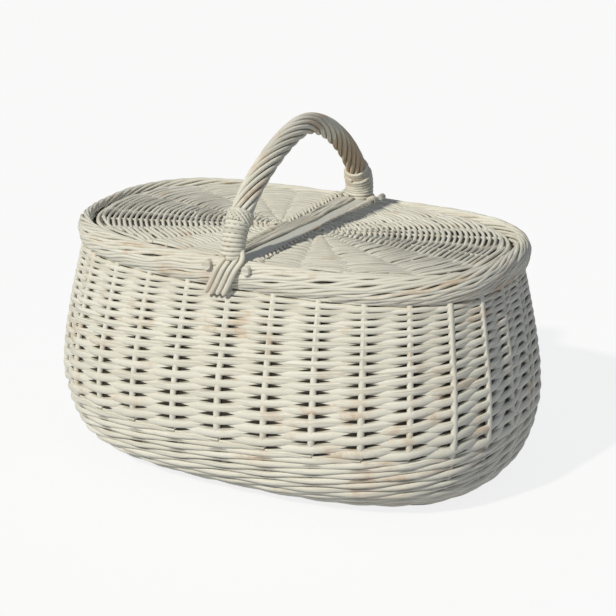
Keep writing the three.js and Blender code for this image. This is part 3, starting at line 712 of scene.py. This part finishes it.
def board_finish():
    """Smooth paint on the slat, rubbed along its edges, with grain along the board."""
    colours = bpy.context.scene.basket_finish
    material, bench = finish_bench("slat_paint")
    place = bench.node("ShaderNodeTexCoord", out=3)
    stretched = bench.node("ShaderNodeMapping", {"Vector": place, "Scale": (190.0, 7.0, 190.0)})
    grain = bench.noise(stretched, 1.0, 5.0, 0.6)
    patch = bench.noise(place, 40.0, 3.0)
    edge = bench.math("ABSOLUTE", bench.split(place))
    edge = bench.ranged(edge + patch * 0.004, 0.0128, 0.0162)
    rubbed = bench.ranged(patch * 0.7 + grain * 0.4 + edge * 0.35, 0.66, 0.92)
    painted = bench.blend(grain, colours.board, colours.paint)
    painted = bench.blend(rubbed * 0.6, painted, colours.bare)
    bump = bench.node("ShaderNodeBump", {"Strength": 0.25, "Distance": 0.0005, "Height": grain})
    return finished(material, painted, 0.42 + grain * 0.25, bump)


# Pieces

def begin(seed):
    """What a woven piece starts from: the form, its sizes and random numbers of its own."""
    form = BasketForm()
    return form, form.sizes, np.random.default_rng(seed)


def climbing_rods(form, rng, passed, rows, z, depth, girth, spread):
    """A rod from each stake, which climbs one row at every stake it passes and varies on its way."""
    first = int(passed[0])
    at_rows = np.arange(first, rows + 1)
    at_tones = np.arange(first, rows + 2, 2)
    guides = Guides()
    for rod in range(form.sizes.stakes):
        place = rod + passed
        points, outward = form.wall(place, z, depth)
        sway = 1 + np.interp(passed, at_rows, rng.normal(0, spread, len(at_rows)))
        tone = np.interp(passed, at_tones, rng.random(len(at_tones)))
        guides.add(points, girth * sway, outward, place - STAKE_PLACE, rod, tone)
    return guides


class BASKET_OT_side(bpy.types.Operator):
    """Weaves the wall: a rod from each stake, which climbs one row at every stake it passes"""

    bl_idname = "basket.side"
    bl_label = "Weave the side"

    start = -2  # row in which a rod starts, tucked in behind the foot band
    forward = -0.4  # row in which it has come forward
    tuck = 0.004  # how much deeper it starts
    low_fill = 0.70  # half the thickness of a rod, as a share of the height of its row, at the foot
    high_fill = 0.94  # the same under the border

    def execute(self, context):
        form, sizes, rng = begin(seed=11)
        start = self.start
        pitches = np.linspace(sizes.low_pitch, sizes.high_pitch, sizes.rows)
        climbed = np.concatenate([pitches[0] * np.arange(start, 1), np.cumsum(pitches)])
        passed = np.arange(start, sizes.rows - SHORT_OF_LAST, 0.1)
        z = np.interp(passed, np.arange(start, sizes.rows + 1), sizes.weave_low + climbed)
        depth = sizes.rod_depth + np.interp(passed, [start, self.forward], [self.tuck, 0.0])
        girths = [sizes.low_pitch * self.low_fill, sizes.high_pitch * self.high_fill]
        girth = np.interp(passed, [0, sizes.rows], girths)
        guides = climbing_rods(form, rng, passed, sizes.rows, z, depth, girth, spread=0.05)
        woven(
            "woven_side", guides, "woven_willow", "side_weave",
            wave=sizes.weave_wave, flatness=0.5, wander=0.0008, unevenness=0.06)
        return {"FINISHED"}


class BASKET_OT_stakes(bpy.types.Operator):
    """Stands the upright stakes in the weave"""

    bl_idname = "basket.stakes"
    bl_label = "Stand the stakes"

    shoulder = {27: 1.0, 28: 1.0, 29: 0.45, 0: 0.45}  # share of the lift of stakes that stand out
    foot_depth = 0.008  # under the face of the wall, behind the foot band
    shoulder_depth = 0.0052  # the same for stakes that stand out
    forward = np.array([-0.001, 0.011])  # heights over the foot band between which a stake comes forward
    foot_z = 0.009  # lower end of a stake, over the floor
    taper = np.linspace(1.06, 0.92, 22)  # from foot to neck

    def execute(self, context):
        form, sizes, rng = begin(seed=12)
        guides = Guides()
        heights = np.linspace(self.foot_z, sizes.neck_height, len(self.taper))
        span = sizes.foot_high + self.forward
        for stake in range(sizes.stakes):
            low_depth = self.shoulder_depth if stake in self.shoulder else self.foot_depth
            depth = np.interp(heights, span, [low_depth, sizes.weave_depth])
            depth -= sizes.shoulder_lift * self.shoulder.get(stake, 0.0)
            points, outward = form.wall(stake + STAKE_PLACE, heights, depth)
            girth = sizes.stake_girth * self.taper * rng.uniform(0.94, 1.06)
            # An even row keeps a stake out of the painted shade
            guides.add(points, girth, outward, row=2 * stake, tone=rng.random())
        nodes = [name for name in frame["nodes"] if name.startswith("stake_")]
        woven("upright_stakes", guides, "woven_willow", *nodes, wander=0.0007)
        return {"FINISHED"}


class BASKET_OT_bands(bpy.types.Operator):
    """Lays the fine climbing rods round the foot and the three-rod wale under the border"""

    bl_idname = "basket.bands"
    bl_label = "Lay the bands"

    foot_depth = 0.0016  # under the face of the wall
    foot_tuck = 0.004  # how much deeper a rod of the foot starts
    core_hoops = 8  # hoops behind the foot band, painted dark as the shade in its gaps
    core_depth = 0.0095
    core_girth = 0.0044
    core_lift = 0.006  # from the lowest row of the foot band to the lowest hoop
    wale_heights = (-0.0050, 0.0005)  # of the rows of the wale, from the neck
    wale_depth = 0.0030
    wale_girth = 0.0020

    def execute(self, context):
        form, sizes, rng = begin(seed=13)
        levels = form.climb(sizes.foot_low, sizes.foot_high, sizes.foot_rows)
        passed = np.arange(-1.0, sizes.foot_rows - SHORT_OF_LAST, 0.125)
        z = np.interp(passed, np.arange(sizes.foot_rows), levels)
        depth = self.foot_depth + np.interp(passed, [-1.0, 0.0], [self.foot_tuck, 0.0])
        guides = climbing_rods(
            form, rng, passed, sizes.foot_rows, z, depth, sizes.wale_girth, spread=0.07)
        woven(
            "foot_band", guides, "rubbed_willow", "foot_wale",
            flatness=0.6, wave=0.0010, wander=0.0012)

        # Dark hoops that show in the gaps of the foot band as painted shade
        hoops = Guides()
        place = np.arange(0, sizes.stakes, 0.25)
        for z in form.climb(sizes.foot_low + self.core_lift, sizes.foot_high, self.core_hoops):
            points, outward = form.wall(place, z, self.core_depth)
            hoops.add(points, self.core_girth, outward, closed=True, **PAINTED_SHADE_ROW)
        woven("foot_shade_core", hoops, "woven_willow")

        wale = Guides()
        place = np.arange(0, sizes.stakes, 0.125)
        at_tones = np.arange(0, sizes.stakes, 3.0)
        for height in self.wale_heights:
            points, outward = form.wall(place, sizes.neck_height + height, self.wale_depth)
            shift = rng.uniform(0, RODS_IN_WALE)
            for rod in range(RODS_IN_WALE):
                tone = np.interp(place, at_tones, rng.random(len(at_tones)), period=sizes.stakes)
                wale.add(points, self.wale_girth, outward, place + shift, rod, tone, closed=True)
        woven(
            "top_band", wale, "rubbed_willow", "top_wale", flatness=0.62, wave=0.0022, lift=0.0010,
            crossings=float(RODS_IN_WALE), row_shift=1 / RODS_IN_WALE, wander=0.0006)
        return {"FINISHED"}


class BASKET_OT_border(bpy.types.Operator):
    """Rolls the border: rods that rise along its face, go over the crown and end inside"""

    bl_idname = "basket.border"
    bl_label = "Roll the border"

    # Way of a rod: stakes passed, drop below the crown, inset from the outside
    way = np.array([
        (0.0, 0.0252, 0.0090), (0.35, 0.0235, 0.0052), (1.3, 0.0175, 0.0036),
        (2.5, 0.0110, 0.0030), (3.5, 0.0055, 0.0048), (4.1, 0.0029, 0.0085),
        (4.7, 0.0030, 0.0122), (5.3, 0.0065, 0.0146), (6.2, 0.0125, 0.0146)])
    cores = ((0.0210, 0.0098), (0.0145, 0.0092), (0.0090, 0.0105))  # drop and inset of each hoop
    core_girth = 0.0040
    middle = 0.0125  # drop and inset of the middle of the roll
    taper = np.linspace(1.08, 0.86, 84)  # along a rod
    hoop_drop = 0.0165  # of the hoop that carries the lids
    hoop_inset = 0.0212
    hoop_girth = 0.0026

    def execute(self, context):
        form, sizes, rng = begin(seed=14)
        guides = Guides()
        at = np.linspace(0, self.way[-1, 0], len(self.taper))
        _, drop, inset = drawn_through(at, self.way[:, 0], self.way).T
        bowed = np.interp(at, [0.3, 1.0, 3.2, 3.8], [0, 1, 1, 0])
        for rod in range(2 * sizes.stakes):
            place = rod / 2 + STAKE_PLACE + at + rng.normal(0, 0.06)
            bow = rng.uniform(0.0003, 0.0015)
            bow = bow * np.sin(math.tau * (at * rng.uniform(0.7, 0.95) + rng.random()))
            points = smoothed(form.rim(place, inset, crown_z - drop + bow * bowed))
            middle = form.rim(place, self.middle, crown_z - self.middle)
            girth = sizes.border_girth * self.taper * rng.uniform(0.80, 1.16)
            guides.add(points, girth, unit(points - middle), row=rod, tone=rng.random())
        woven("rolled_border", guides, "rolled_willow", "border", wander=0.0006)

        # Dark hoops inside the roll, which show in the slits between its rods as painted shade
        core = Guides()
        place = np.arange(0, sizes.stakes, 0.25)
        for drop, inset in self.cores:
            core.add(form.rim(place, inset, crown_z - drop), self.core_girth, closed=True, **PAINTED_SHADE_ROW)
        woven("border_shade_core", core, "woven_willow")

        ledge = Guides()
        place = np.arange(0, sizes.stakes, 0.125)
        points = form.rim(place, self.hoop_inset, crown_z - self.hoop_drop)
        inner = form.rim(place, self.hoop_inset + 0.005, crown_z - self.hoop_drop)
        for rod in range(RODS_IN_WALE):
            ledge.add(points, self.hoop_girth, unit(points - inner), place, rod, rng.random(), closed=True)
        woven(
            "inner_hoop", ledge, "rubbed_willow", sides=7, wave=0.0021,
            crossings=float(RODS_IN_WALE), row_shift=1 / RODS_IN_WALE, lift=0.0023)
        return {"FINISHED"}


class BASKET_OT_floor(bpy.types.Operator):
    """Weaves the oval floor round its ribs"""

    bl_idname = "basket.floor"
    bl_label = "Weave the floor"

    ribs = 24
    rib_girth = 0.0019
    rib_inset = 0.003  # from the edge of the floor to the tips of the ribs
    root_x = 0.075  # farthest from the middle that a rib starts
    middle = 0.0040  # height of the middle of the weave
    overlap = 0.008  # of the floor under the wall
    row_pitch = 0.0062
    row_girth = 0.0024
    insets = (0.006, 0.004)  # of the first row from the edge and of the last from the middle

    def execute(self, context):
        form, sizes, rng = begin(seed=15)
        half = np.array(sizes.foot) / 2 + self.overlap
        turn = np.linspace(0, math.tau, 240, endpoint=False)
        place = turn / math.tau * self.ribs
        rows = Guides()
        first, last = self.insets
        for row, inset in enumerate(np.arange(first, half[1] - last, self.row_pitch)):
            points = form.oval(half[0] - inset, half[1] - inset, turn, self.middle)
            rows.add(points, self.row_girth, UP, place, row, rng.random(), closed=True)
        woven(
            "woven_floor", rows, "woven_willow", "floor_weave",
            sides=6, wave=0.0012, wander=0.0004, unevenness=0.05)
        spokes = Guides()
        half = half - self.rib_inset
        for rib in range(self.ribs):
            tip = form.oval(half[0], half[1], math.tau * rib / self.ribs, self.middle)
            root = (np.clip(tip[0] * 0.5, -self.root_x, self.root_x), tip[1] * 0.03, self.middle)
            spokes.add(np.linspace(root, tip, 8), self.rib_girth, row=rib, tone=rng.random())
        woven("floor_ribs", spokes, "woven_willow", sides=6)
        return {"FINISHED"}


class BASKET_OT_lids(bpy.types.Operator):
    """Weaves the two half-oval lids on their ribs, edge sticks and hinge sticks"""

    bl_idname = "basket.lids"
    bl_label = "Weave the lids"

    edge_rows = (0.0246, 0.0270)  # insets of the two rows along the edge stick
    edge_drop = 0.0012  # of the edge stick below the hinge stick
    clear = {"weave": 0.002, "rows": 0.004, "stick": 0.0108}  # from the hinge stick to the ends of each
    first_row = 0.08  # share of the reach at which the rows start
    row_share = 0.94  # of the reach that the rows cover
    sag = 0.0005  # how far a row strays up or down
    twist_every = 3  # rows from one that is twisted round the hinge stick to the next
    twist_lengths = (0.008, 0.016)
    rib_girth = 0.0019
    rib_start = 0.006  # from the hub
    stick_inside = 0.004  # from the outside of a cut end to the end of the stick in it
    cut_depths = np.array([0.009, 0.0018, 0.0005, 0.0])  # of a cut end, from its outside
    cut_round = np.array([0.9, 1.0, 0.96, 0.84])  # its girth at these depths
    far_end = 1.4  # girth of a far end, in girths of the stick

    def edge_line(self, form, inset, from_x, number):
        """Curved edge of the right lid at an inset, from its near end to its far end."""
        half = np.array(form.sizes.rim) / 2 - inset
        start = math.acos((from_x / half[0]) ** (form.sizes.oval_power / 2))
        return form.oval(half[0], half[1], np.linspace(-start, start, number), hinge_z)

    def fan(self, form):
        """Angles about the hub of the right lid, and how far the weave reaches at each."""
        edge = self.edge_line(form, form.sizes.lid_inset, hinge_x + self.clear["weave"], 400) - hub
        turn = np.linspace(-math.pi / 2, math.pi / 2, 145)
        return turn, np.interp(turn, np.arctan2(edge[:, 1], edge[:, 0]), np.hypot(edge[:, 0], edge[:, 1]))

    def twist(self, sizes, rng, end_y, step):
        """End of a row, twisted round the hinge stick."""
        bow = np.linspace(0.25, 1.85, 22) * math.pi
        lay = sizes.stick_girth + sizes.twist_girth * 0.6
        y = end_y + np.linspace(-0.001, rng.uniform(*self.twist_lengths), len(bow)) * step
        return points_at(hinge_x + lay * np.cos(bow), y, hinge_z + lay * np.sin(bow))

    def panel(self, form, rng, name, flip):
        """Rows about the hub, and two rows along the edge."""
        sizes = form.sizes
        turn, reach = self.fan(form)
        way = points_at(np.cos(turn), np.sin(turn), 0)
        shape = reach.max() + (reach - reach.max()) * sizes.lid_oval
        side = math.pi / 2 / sizes.rib_step  # rib spacings from the middle rib to the hinge stick
        weave = Guides()
        for row in range(sizes.lid_rows):
            radius = shape * (self.first_row + self.row_share * (row + 0.5) / sizes.lid_rows)
            inside = radius <= reach
            line = (hub + way * radius[:, None])[inside]
            if len(line) < 4:
                continue
            place = turn[inside] / sizes.rib_step
            girth = sizes.lid_girth * rng.uniform(0.86, 1.12)
            tone = np.interp(place, np.linspace(-side, side, 6), rng.random(6))
            sag = rng.normal(0, self.sag, 10).clip(-0.0009, 0.0009)
            line[:, 2] += np.interp(place, np.linspace(-side, side, 10), sag)
            weave.add(line * flip, girth, UP, place, row, tone)
            if row % self.twist_every == 1 and inside.all():
                for end, step in ((0, 1), (-1, -1)):
                    wrap = self.twist(sizes, rng, line[end][1], step)
                    weave.add(wrap * flip, sizes.twist_girth, (0, 1, 0), 0, 2 * row, rng.random())
        for row, inset in enumerate(self.edge_rows):
            line = self.edge_line(form, inset, hinge_x + self.clear["rows"], 150)
            place = np.arctan2(line[:, 1], line[:, 0] - hinge_x) / sizes.rib_step
            weave.add(line * flip, sizes.lid_girth, UP, place, row, rng.random())
        woven(
            f"woven_lid_{name}", weave, "lid_willow", f"lid_{name}_weave", body=f"lid_{name}",
            sides=6, wave=0.0021, sharpness=-0.14, wander=0.0006)

    def sticks(self, form, rng, name, flip):
        """Ribs, edge stick and hinge stick."""
        sizes = form.sizes
        sticks = Guides()
        side = math.floor(math.pi / 2 / sizes.rib_step)
        ribs = np.arange(-side, side + 1) * sizes.rib_step
        for rib, tip in zip(ribs, np.interp(ribs, *self.fan(form))):
            way = np.array([math.cos(rib), math.sin(rib), 0])
            line = hub + way * np.linspace(self.rib_start, tip, 10)[:, None]
            sticks.add(line * flip, self.rib_girth, tone=rng.random())
        edge = self.edge_line(form, sizes.edge_inset, hinge_x + self.clear["stick"], 70)
        sticks.add((edge - (0, 0, self.edge_drop)) * flip, sizes.edge_girth, tone=rng.random())
        y = np.linspace(-1, 1, 40) * (sizes.hinge_reach - self.stick_inside)
        sticks.add(points_at(hinge_x, y, hinge_z) * flip, sizes.stick_girth, tone=rng.random())
        woven(
            f"lid_{name}_sticks", sticks, "stick_willow",
            f"lid_{name}_edge", f"lid_{name}_hinge_stick", body=f"lid_{name}", sides=10, unevenness=0.03)

    def cut_ends(self, form, rng, name, flip):
        """Ends of the hinge stick, which show outside the border."""
        sizes = form.sizes
        near = dict(zip(("left", "right"), sizes.cut_ends))[name]
        cut = Guides()
        for side, girth in ((-1, near), (1, sizes.stick_girth * self.far_end)):
            y = side * (sizes.hinge_reach - self.cut_depths)
            cut.add(points_at(hinge_x * flip[0], y, hinge_z), girth * self.cut_round, tone=rng.random())
        woven(
            f"lid_{name}_cut_ends", cut, "cut_willow", body=f"lid_{name}",
            sides=14, unevenness=0.03)

    def execute(self, context):
        for name, turn in (("right", 1), ("left", -1)):
            form, _, rng = begin(seed=16 + turn)
            for make in (self.panel, self.sticks, self.cut_ends):
                make(form, rng, name, np.array([turn, turn, 1]))
        return {"FINISHED"}


class BASKET_OT_handle(bpy.types.Operator):
    """Lays the handle's rods round its core and binds its feet with cane"""

    bl_idname = "basket.handle"
    bl_label = "Lay the handle"

    core_gap = 0.0016  # from the core's face to the middle of the rods
    turn_steps = 26  # points in a turn of cane
    collar = 0.006  # height of the crossed collar above the turns
    collar_span = np.array([-0.0075, 0.0005])  # its strands, from the top of the binding
    collar_strands = 13
    collar_pitch = 0.042
    collar_girth = 0.00125
    last_span = np.array([-0.0005, 0.002])  # of the last round, from the top of the binding
    last_turns = 1.6
    last_girth = 0.0015

    def bind(self, form, name, lift, top, ease):
        """Cane turns, a crossed collar and a last round over them, on one foot of the handle."""
        sizes = form.sizes
        radius = sizes.lay_radius + sizes.strand_girth

        def wind(piece, low, high, points, tree, *nodes, **inputs):
            guide = Guides().add(form.handle_part(low, high, points, from_far=name == "far"))
            woven(
                f"cane_{piece}_{name}", guide, "wound_cane", *nodes, tree=tree, slot="split_cane",
                across=form.across(), **inputs)

        wound = round((top - self.collar - lift) / sizes.turn_pitch)
        wind(
            "turns", lift, top - self.collar, 40, coil_tree(), f"binding_{name}", turns=float(wound),
            steps=wound * self.turn_steps, lay_radius=radius + ease, girth=sizes.cane_girth)
        for piece, turned, out in (("collar", 1, 0.0002), ("cross", -1, 0.0010)):
            wind(
                piece, *(top + self.collar_span), 8, strand_tree(), sides=7, seed=9,
                strands=self.collar_strands, pitch=self.collar_pitch * turned,
                lay_radius=radius + out, girth=self.collar_girth)
        wind(
            "top", *(top + self.last_span), 8, coil_tree(), turns=self.last_turns, steps=48,
            lay_radius=radius + 0.0004, girth=self.last_girth)

    def execute(self, context):
        form = BasketForm()
        sizes = form.sizes
        arch = form.handle()[1][-1]
        rope = Guides().add(form.handle_part(sizes.near_lift, arch - sizes.near_lift, 150))
        woven(
            "handle_strands", rope, "handle_willow", "handle_rope", tree=strand_tree(),
            sides=10, strands=sizes.strands, pitch=sizes.lay_pitch, lay_radius=sizes.lay_radius,
            girth=sizes.strand_girth, across=form.across(), unevenness=0.05, seed=3)
        # The core is painted dark, as the shade in the grooves between the rods
        core = Guides().add(form.handle_part(0, arch, 80), sizes.lay_radius - self.core_gap, **PAINTED_SHADE_ROW)
        woven("handle_bow", core, "woven_willow", "handle_core", sides=12)
        near_top, far_top = sizes.binding_tops
        self.bind(form, "near", sizes.near_lift, near_top, ease=-0.0006)
        self.bind(form, "far", sizes.far_lift, far_top, ease=0.0018)
        return {"FINISHED"}


class BASKET_OT_tails(bpy.types.Operator):
    """Bends the ends of handle rods out over the border"""

    bl_idname = "basket.tails"
    bl_label = "Bend the tails"

    girth = 0.0025
    taper = np.interp(np.arange(25), [0, 3, 22, 23.5, 24], [0.9, 1, 1, 0.93, 0.7])  # to a rounded end
    smoothings = 6
    clear = 0.0022  # from the side of the solid to the middle of the tail

    def line(self, node, side):
        """Middle of a tail, from inside the binding over the border to its end."""
        low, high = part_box(node)
        top_x, end_x = (high.x, low.x) if side < 0 else (low.x, high.x)
        inward = -self.clear * side
        face = max(abs(low.y), abs(high.y)) - self.girth
        run = end_x - top_x
        knots = np.array([
            (top_x * 0.55, side * (face - 0.0155), crown_z + 0.009),
            (top_x - inward, side * (face - 0.0085), crown_z + 0.0015),
            (top_x - inward + run * 0.25, side * (face - 0.0012), crown_z - 0.008),
            (top_x + run * 0.62, side * face, crown_z - 0.021),
            (end_x + inward, side * (face - 0.0002), low.z + 0.002)])
        at = np.linspace(0, len(knots) - 1, len(self.taper))
        line = drawn_through(at, np.arange(len(knots)), knots)
        for _ in range(self.smoothings):
            line = smoothed(line)
        return line

    def execute(self, context):
        rng = np.random.default_rng(17)
        for name, side in (("near", -1), ("far", 1)):
            guides = Guides()
            nodes = [f"tail_{name}_{number}" for number in range(1, 5)]
            for row, node in enumerate(nodes):
                girth = self.girth * self.taper * rng.uniform(0.94, 1.08)
                guides.add(self.line(node, side), girth, (0, side, 0), row=row, tone=rng.random())
            woven(f"tails_{name}", guides, "handle_willow", *nodes, sides=10, unevenness=0.05)
        return {"FINISHED"}


class BASKET_OT_lashings(bpy.types.Operator):
    """Lashes the hinge sticks down on the inner hoop with cane"""

    bl_idname = "basket.lashings"
    bl_label = "Lash the hinge sticks"

    loops = 3
    girth = 0.00118
    clear = 0.0012  # from the face of the solid to the middle of a loop
    drop = 0.0002  # of the loops below the middle of the stick

    def execute(self, context):
        rng = np.random.default_rng(18)
        bow = np.linspace(0, math.pi, 15)
        for node in sorted(name for name in frame["nodes"] if name.startswith("strap_")):
            low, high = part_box(node)
            reach = (high.x - low.x) / 2 - self.clear
            height = hinge_z - self.drop + reach * np.sin(bow)
            arch = points_at(reach * np.cos(bow), 0, height)
            line = np.vstack([(reach, 0, low.z), arch, (-reach, 0, low.z)])
            guides = Guides()
            for loop in range(self.loops):
                y = low.y + (high.y - low.y) * (loop + 0.5) / self.loops
                at = ((low.x + high.x) / 2, y, 0)
                guides.add(line + at, self.girth, (0, 1, 0), row=loop, tone=rng.random())
            woven("cane_" + node, guides, "wound_cane", node, slot="split_cane", unevenness=0.06)
        return {"FINISHED"}


class BASKET_OT_slat(bpy.types.Operator):
    """Planes the flat board between the lids and lays thin rods along its left edge"""

    bl_idname = "basket.slat"
    bl_label = "Plane the slat"

    powers = (0.16, 0.34)  # of the section, across and upward: less is squarer
    tip_length = 0.003
    tip_width = 0.94  # share of the board's width that its tips have
    rods = 7
    rod_start = 0.0014  # from the left edge of the board
    rod_lift = 0.0009  # above the board
    rod_ends = (0.014, 0.008)  # from the near and the far end of the board
    rod_spacing = ((-0.10, 0.03, 0.11), (0.0005, 0.0021, 0.0023))  # at places along the board
    rod_girth = ((-0.11, 0.0, 0.11), (0.0010, 0.0014, 0.0014))
    sway = 0.0008

    def board(self, rng):
        across, upward = self.powers
        half = (slat_high.x - slat_low.x) / 2
        thick = (slat_high.z - slat_low.z) / 2
        middle = (slat_high.z + slat_low.z) / 2
        turn = np.linspace(0, math.tau, 28, endpoint=False)
        section = np.stack([
            half * np.sign(np.cos(turn)) * np.abs(np.cos(turn)) ** across,
            thick * np.sign(np.sin(turn)) * np.abs(np.sin(turn)) ** upward], -1)
        mesh = bmesh.new()
        rings = []
        for y in np.linspace(slat_low.y, slat_high.y, 34):
            end = min(y - slat_low.y, slat_high.y - y)
            narrow = np.interp(end, [0, self.tip_length], [self.tip_width, 1])
            narrow = narrow * (1 + rng.normal(0, 0.004))
            rings.append([mesh.verts.new((x * narrow, y, middle + z)) for x, z in section])
        for ring, after in zip(rings, rings[1:]):
            for i, vertex in enumerate(ring):
                j = (i + 1) % len(ring)
                mesh.faces.new((vertex, after[i], after[j], ring[j]))
        mesh.faces.new(rings[0])
        mesh.faces.new(list(reversed(rings[-1])))
        bmesh.ops.recalc_face_normals(mesh, faces=mesh.faces)
        data = bpy.data.meshes.new("planed_slat")
        mesh.to_mesh(data)
        mesh.free()
        data.shade_smooth()
        data.materials.append(board_finish())
        settle(placed("planed_slat", data), "basket", "painted_board", "slat")

    def execute(self, context):
        rng = np.random.default_rng(19)
        self.board(rng)
        rods = Guides()
        y = np.linspace(slat_low.y + self.rod_ends[0], slat_high.y - self.rod_ends[1], 40)
        apart = np.interp(y, *self.rod_spacing)
        girth = np.interp(y, *self.rod_girth)
        for rod in range(self.rods):
            sway = np.interp(y, np.linspace(-0.12, 0.12, 9), rng.normal(0, self.sway, 9))
            x = slat_low.x + self.rod_start + rod * apart + sway
            z = slat_high.z + self.rod_lift + np.abs(sway)
            rods.add(points_at(x, y, z), girth * rng.uniform(0.8, 1.2), tone=rng.random())
        woven("slat_rods", rods, "stick_willow", wander=0.0005)
        return {"FINISHED"}


class BASKET_OT_stage(bpy.types.Operator):
    """Sets the pale floor, the light and the camera"""

    bl_idname = "basket.stage"
    bl_label = "Set the stage"

    floor_half = 14.0
    floor_white = 0.84  # share of plain white in the floor that the camera sees
    floor_bounce = (0.62, 0.64, 0.69, 1)  # colour of the floor that lights the basket
    sun_width = math.radians(2.5)  # angle that the key light takes up, for soft shadows
    top_size = 2.4  # of the soft light overhead
    top_height = 1.9

    def seen(self, bench, *rays):
        """1 for rays from the camera and for the named rays."""
        path = bench.node("ShaderNodeLightPath")
        seen = path
        for ray in rays:
            seen = bench.math("MAXIMUM", seen, path.also(ray))
        return seen

    def floor(self):
        mesh = bpy.data.meshes.new("floor")
        half = self.floor_half
        corners = [(-half, -half, 0), (half, -half, 0), (half, half, 0), (-half, half, 0)]
        mesh.from_pydata(corners, [], [(0, 1, 2, 3)])
        ground = placed("floor", mesh)
        material, bench = finish_bench("pale_floor")
        nodes = material.node_tree.nodes
        nodes.remove(nodes["Principled BSDF"])
        pale = bench.node("ShaderNodeBsdfDiffuse", {"Color": (0.9, 0.9, 0.9, 1)})
        dim = bench.node("ShaderNodeBsdfDiffuse", {"Color": self.floor_bounce})
        white = bench.node("ShaderNodeEmission", {"Color": (1, 1, 1, 1), "Strength": 1.0})
        bright = bench.node("ShaderNodeMixShader", {0: self.floor_white, 1: pale, 2: white})
        seen = self.seen(bench, "Is Glossy Ray", "Is Transmission Ray")
        mixed = bench.node("ShaderNodeMixShader", {0: seen, 1: dim, 2: bright})
        material.node_tree.links.new(mixed.socket, nodes["Material Output"].inputs["Surface"])
        mesh.materials.append(material)

    def sky(self, view):
        world = bpy.data.worlds.new("studio")
        world.use_nodes = True
        bench = Bench(world.node_tree)
        nodes = world.node_tree.nodes
        for node in [node for node in nodes if node.type == "BACKGROUND"]:
            nodes.remove(node)
        fill = bench.node("ShaderNodeBackground", {
            "Color": (*view.sky_colour, 1), "Strength": view.sky_strength})
        white = bench.node("ShaderNodeBackground", {"Color": (1, 1, 1, 1), "Strength": 1.0})
        seen = self.seen(bench, "Is Transmission Ray")
        mixed = bench.node("ShaderNodeMixShader", {0: seen, 1: fill, 2: white})
        leave = next(node for node in nodes if node.type == "OUTPUT_WORLD")
        world.node_tree.links.new(mixed.socket, leave.inputs["Surface"])
        return world

    def lamp(self, name, kind, strength, tint):
        light = bpy.data.lights.new(name, kind)
        light.energy = strength
        light.color = tint
        return placed(name, light)

    def camera(self, view):
        data = bpy.data.cameras.new("camera")
        data.sensor_width = 36.0
        data.lens = view.lens
        data.clip_end = 50.0
        camera = placed("camera", data)
        back = self.way(view.azimuth, view.elevation)
        aside = Vector((math.cos(view.azimuth), math.sin(view.azimuth), 0))
        target = aside * view.target_side + Vector((0, 0, view.target_height))
        camera.location = target + back * view.distance
        camera.rotation_euler = back.to_track_quat("Z", "Y").to_euler()
        return camera

    def way(self, azimuth, elevation):
        """Way from the basket to what stands at an azimuth and an elevation."""
        level = math.cos(elevation)
        return Vector((math.sin(azimuth) * level, -math.cos(azimuth) * level, math.sin(elevation)))

    def execute(self, context):
        scene = context.scene
        view = scene.basket_view
        self.floor()
        scene.world = self.sky(view)
        key = self.lamp("key", "SUN", view.sun_strength, view.sun_colour)
        key.data.angle = self.sun_width
        sunward = self.way(view.sun_azimuth, view.sun_elevation)
        key.rotation_euler = sunward.to_track_quat("Z", "Y").to_euler()
        overhead = self.lamp("overhead", "AREA", view.top_strength, view.top_colour)
        overhead.data.size = self.top_size
        overhead.location = (0, 0, self.top_height)
        scene.camera = self.camera(view)
        scene.view_settings.view_transform = "Standard"
        return {"FINISHED"}


OPERATORS = (
    BASKET_OT_stage, BASKET_OT_side, BASKET_OT_stakes, BASKET_OT_bands, BASKET_OT_border, BASKET_OT_floor,
    BASKET_OT_lids, BASKET_OT_handle, BASKET_OT_tails, BASKET_OT_lashings, BASKET_OT_slat)


class BASKET_PT_pieces(bpy.types.Panel):
    """Sizes, colours and pieces of the basket"""

    bl_idname = "BASKET_PT_pieces"
    bl_label = "Picnic basket"
    bl_space_type = "VIEW_3D"
    bl_region_type = "UI"
    bl_category = "Basket"

    def draw(self, context):
        for name, group in GROUPS.items():
            box = self.layout.box()
            for label in group.__annotations__:
                box.prop(getattr(context.scene, name), label)
        for operator in OPERATORS:
            self.layout.operator(operator.bl_idname)


GROUPS = {"basket_sizes": BasketSizes, "basket_finish": BasketFinish, "basket_view": BasketView}
CLASSES = (*GROUPS.values(), *OPERATORS, BASKET_PT_pieces)


def register():
    for made in CLASSES:
        bpy.utils.register_class(made)
    for name, group in GROUPS.items():
        setattr(bpy.types.Scene, name, bpy.props.PointerProperty(type=group))


def unregister():
    for name in GROUPS:
        delattr(bpy.types.Scene, name)
    for made in reversed(CLASSES):
        bpy.utils.unregister_class(made)


def main():
    register()
    for operator in OPERATORS:
        family, name = operator.bl_idname.split(".")
        getattr(getattr(bpy.ops, family), name)()


if __name__ == "__main__":
    main()
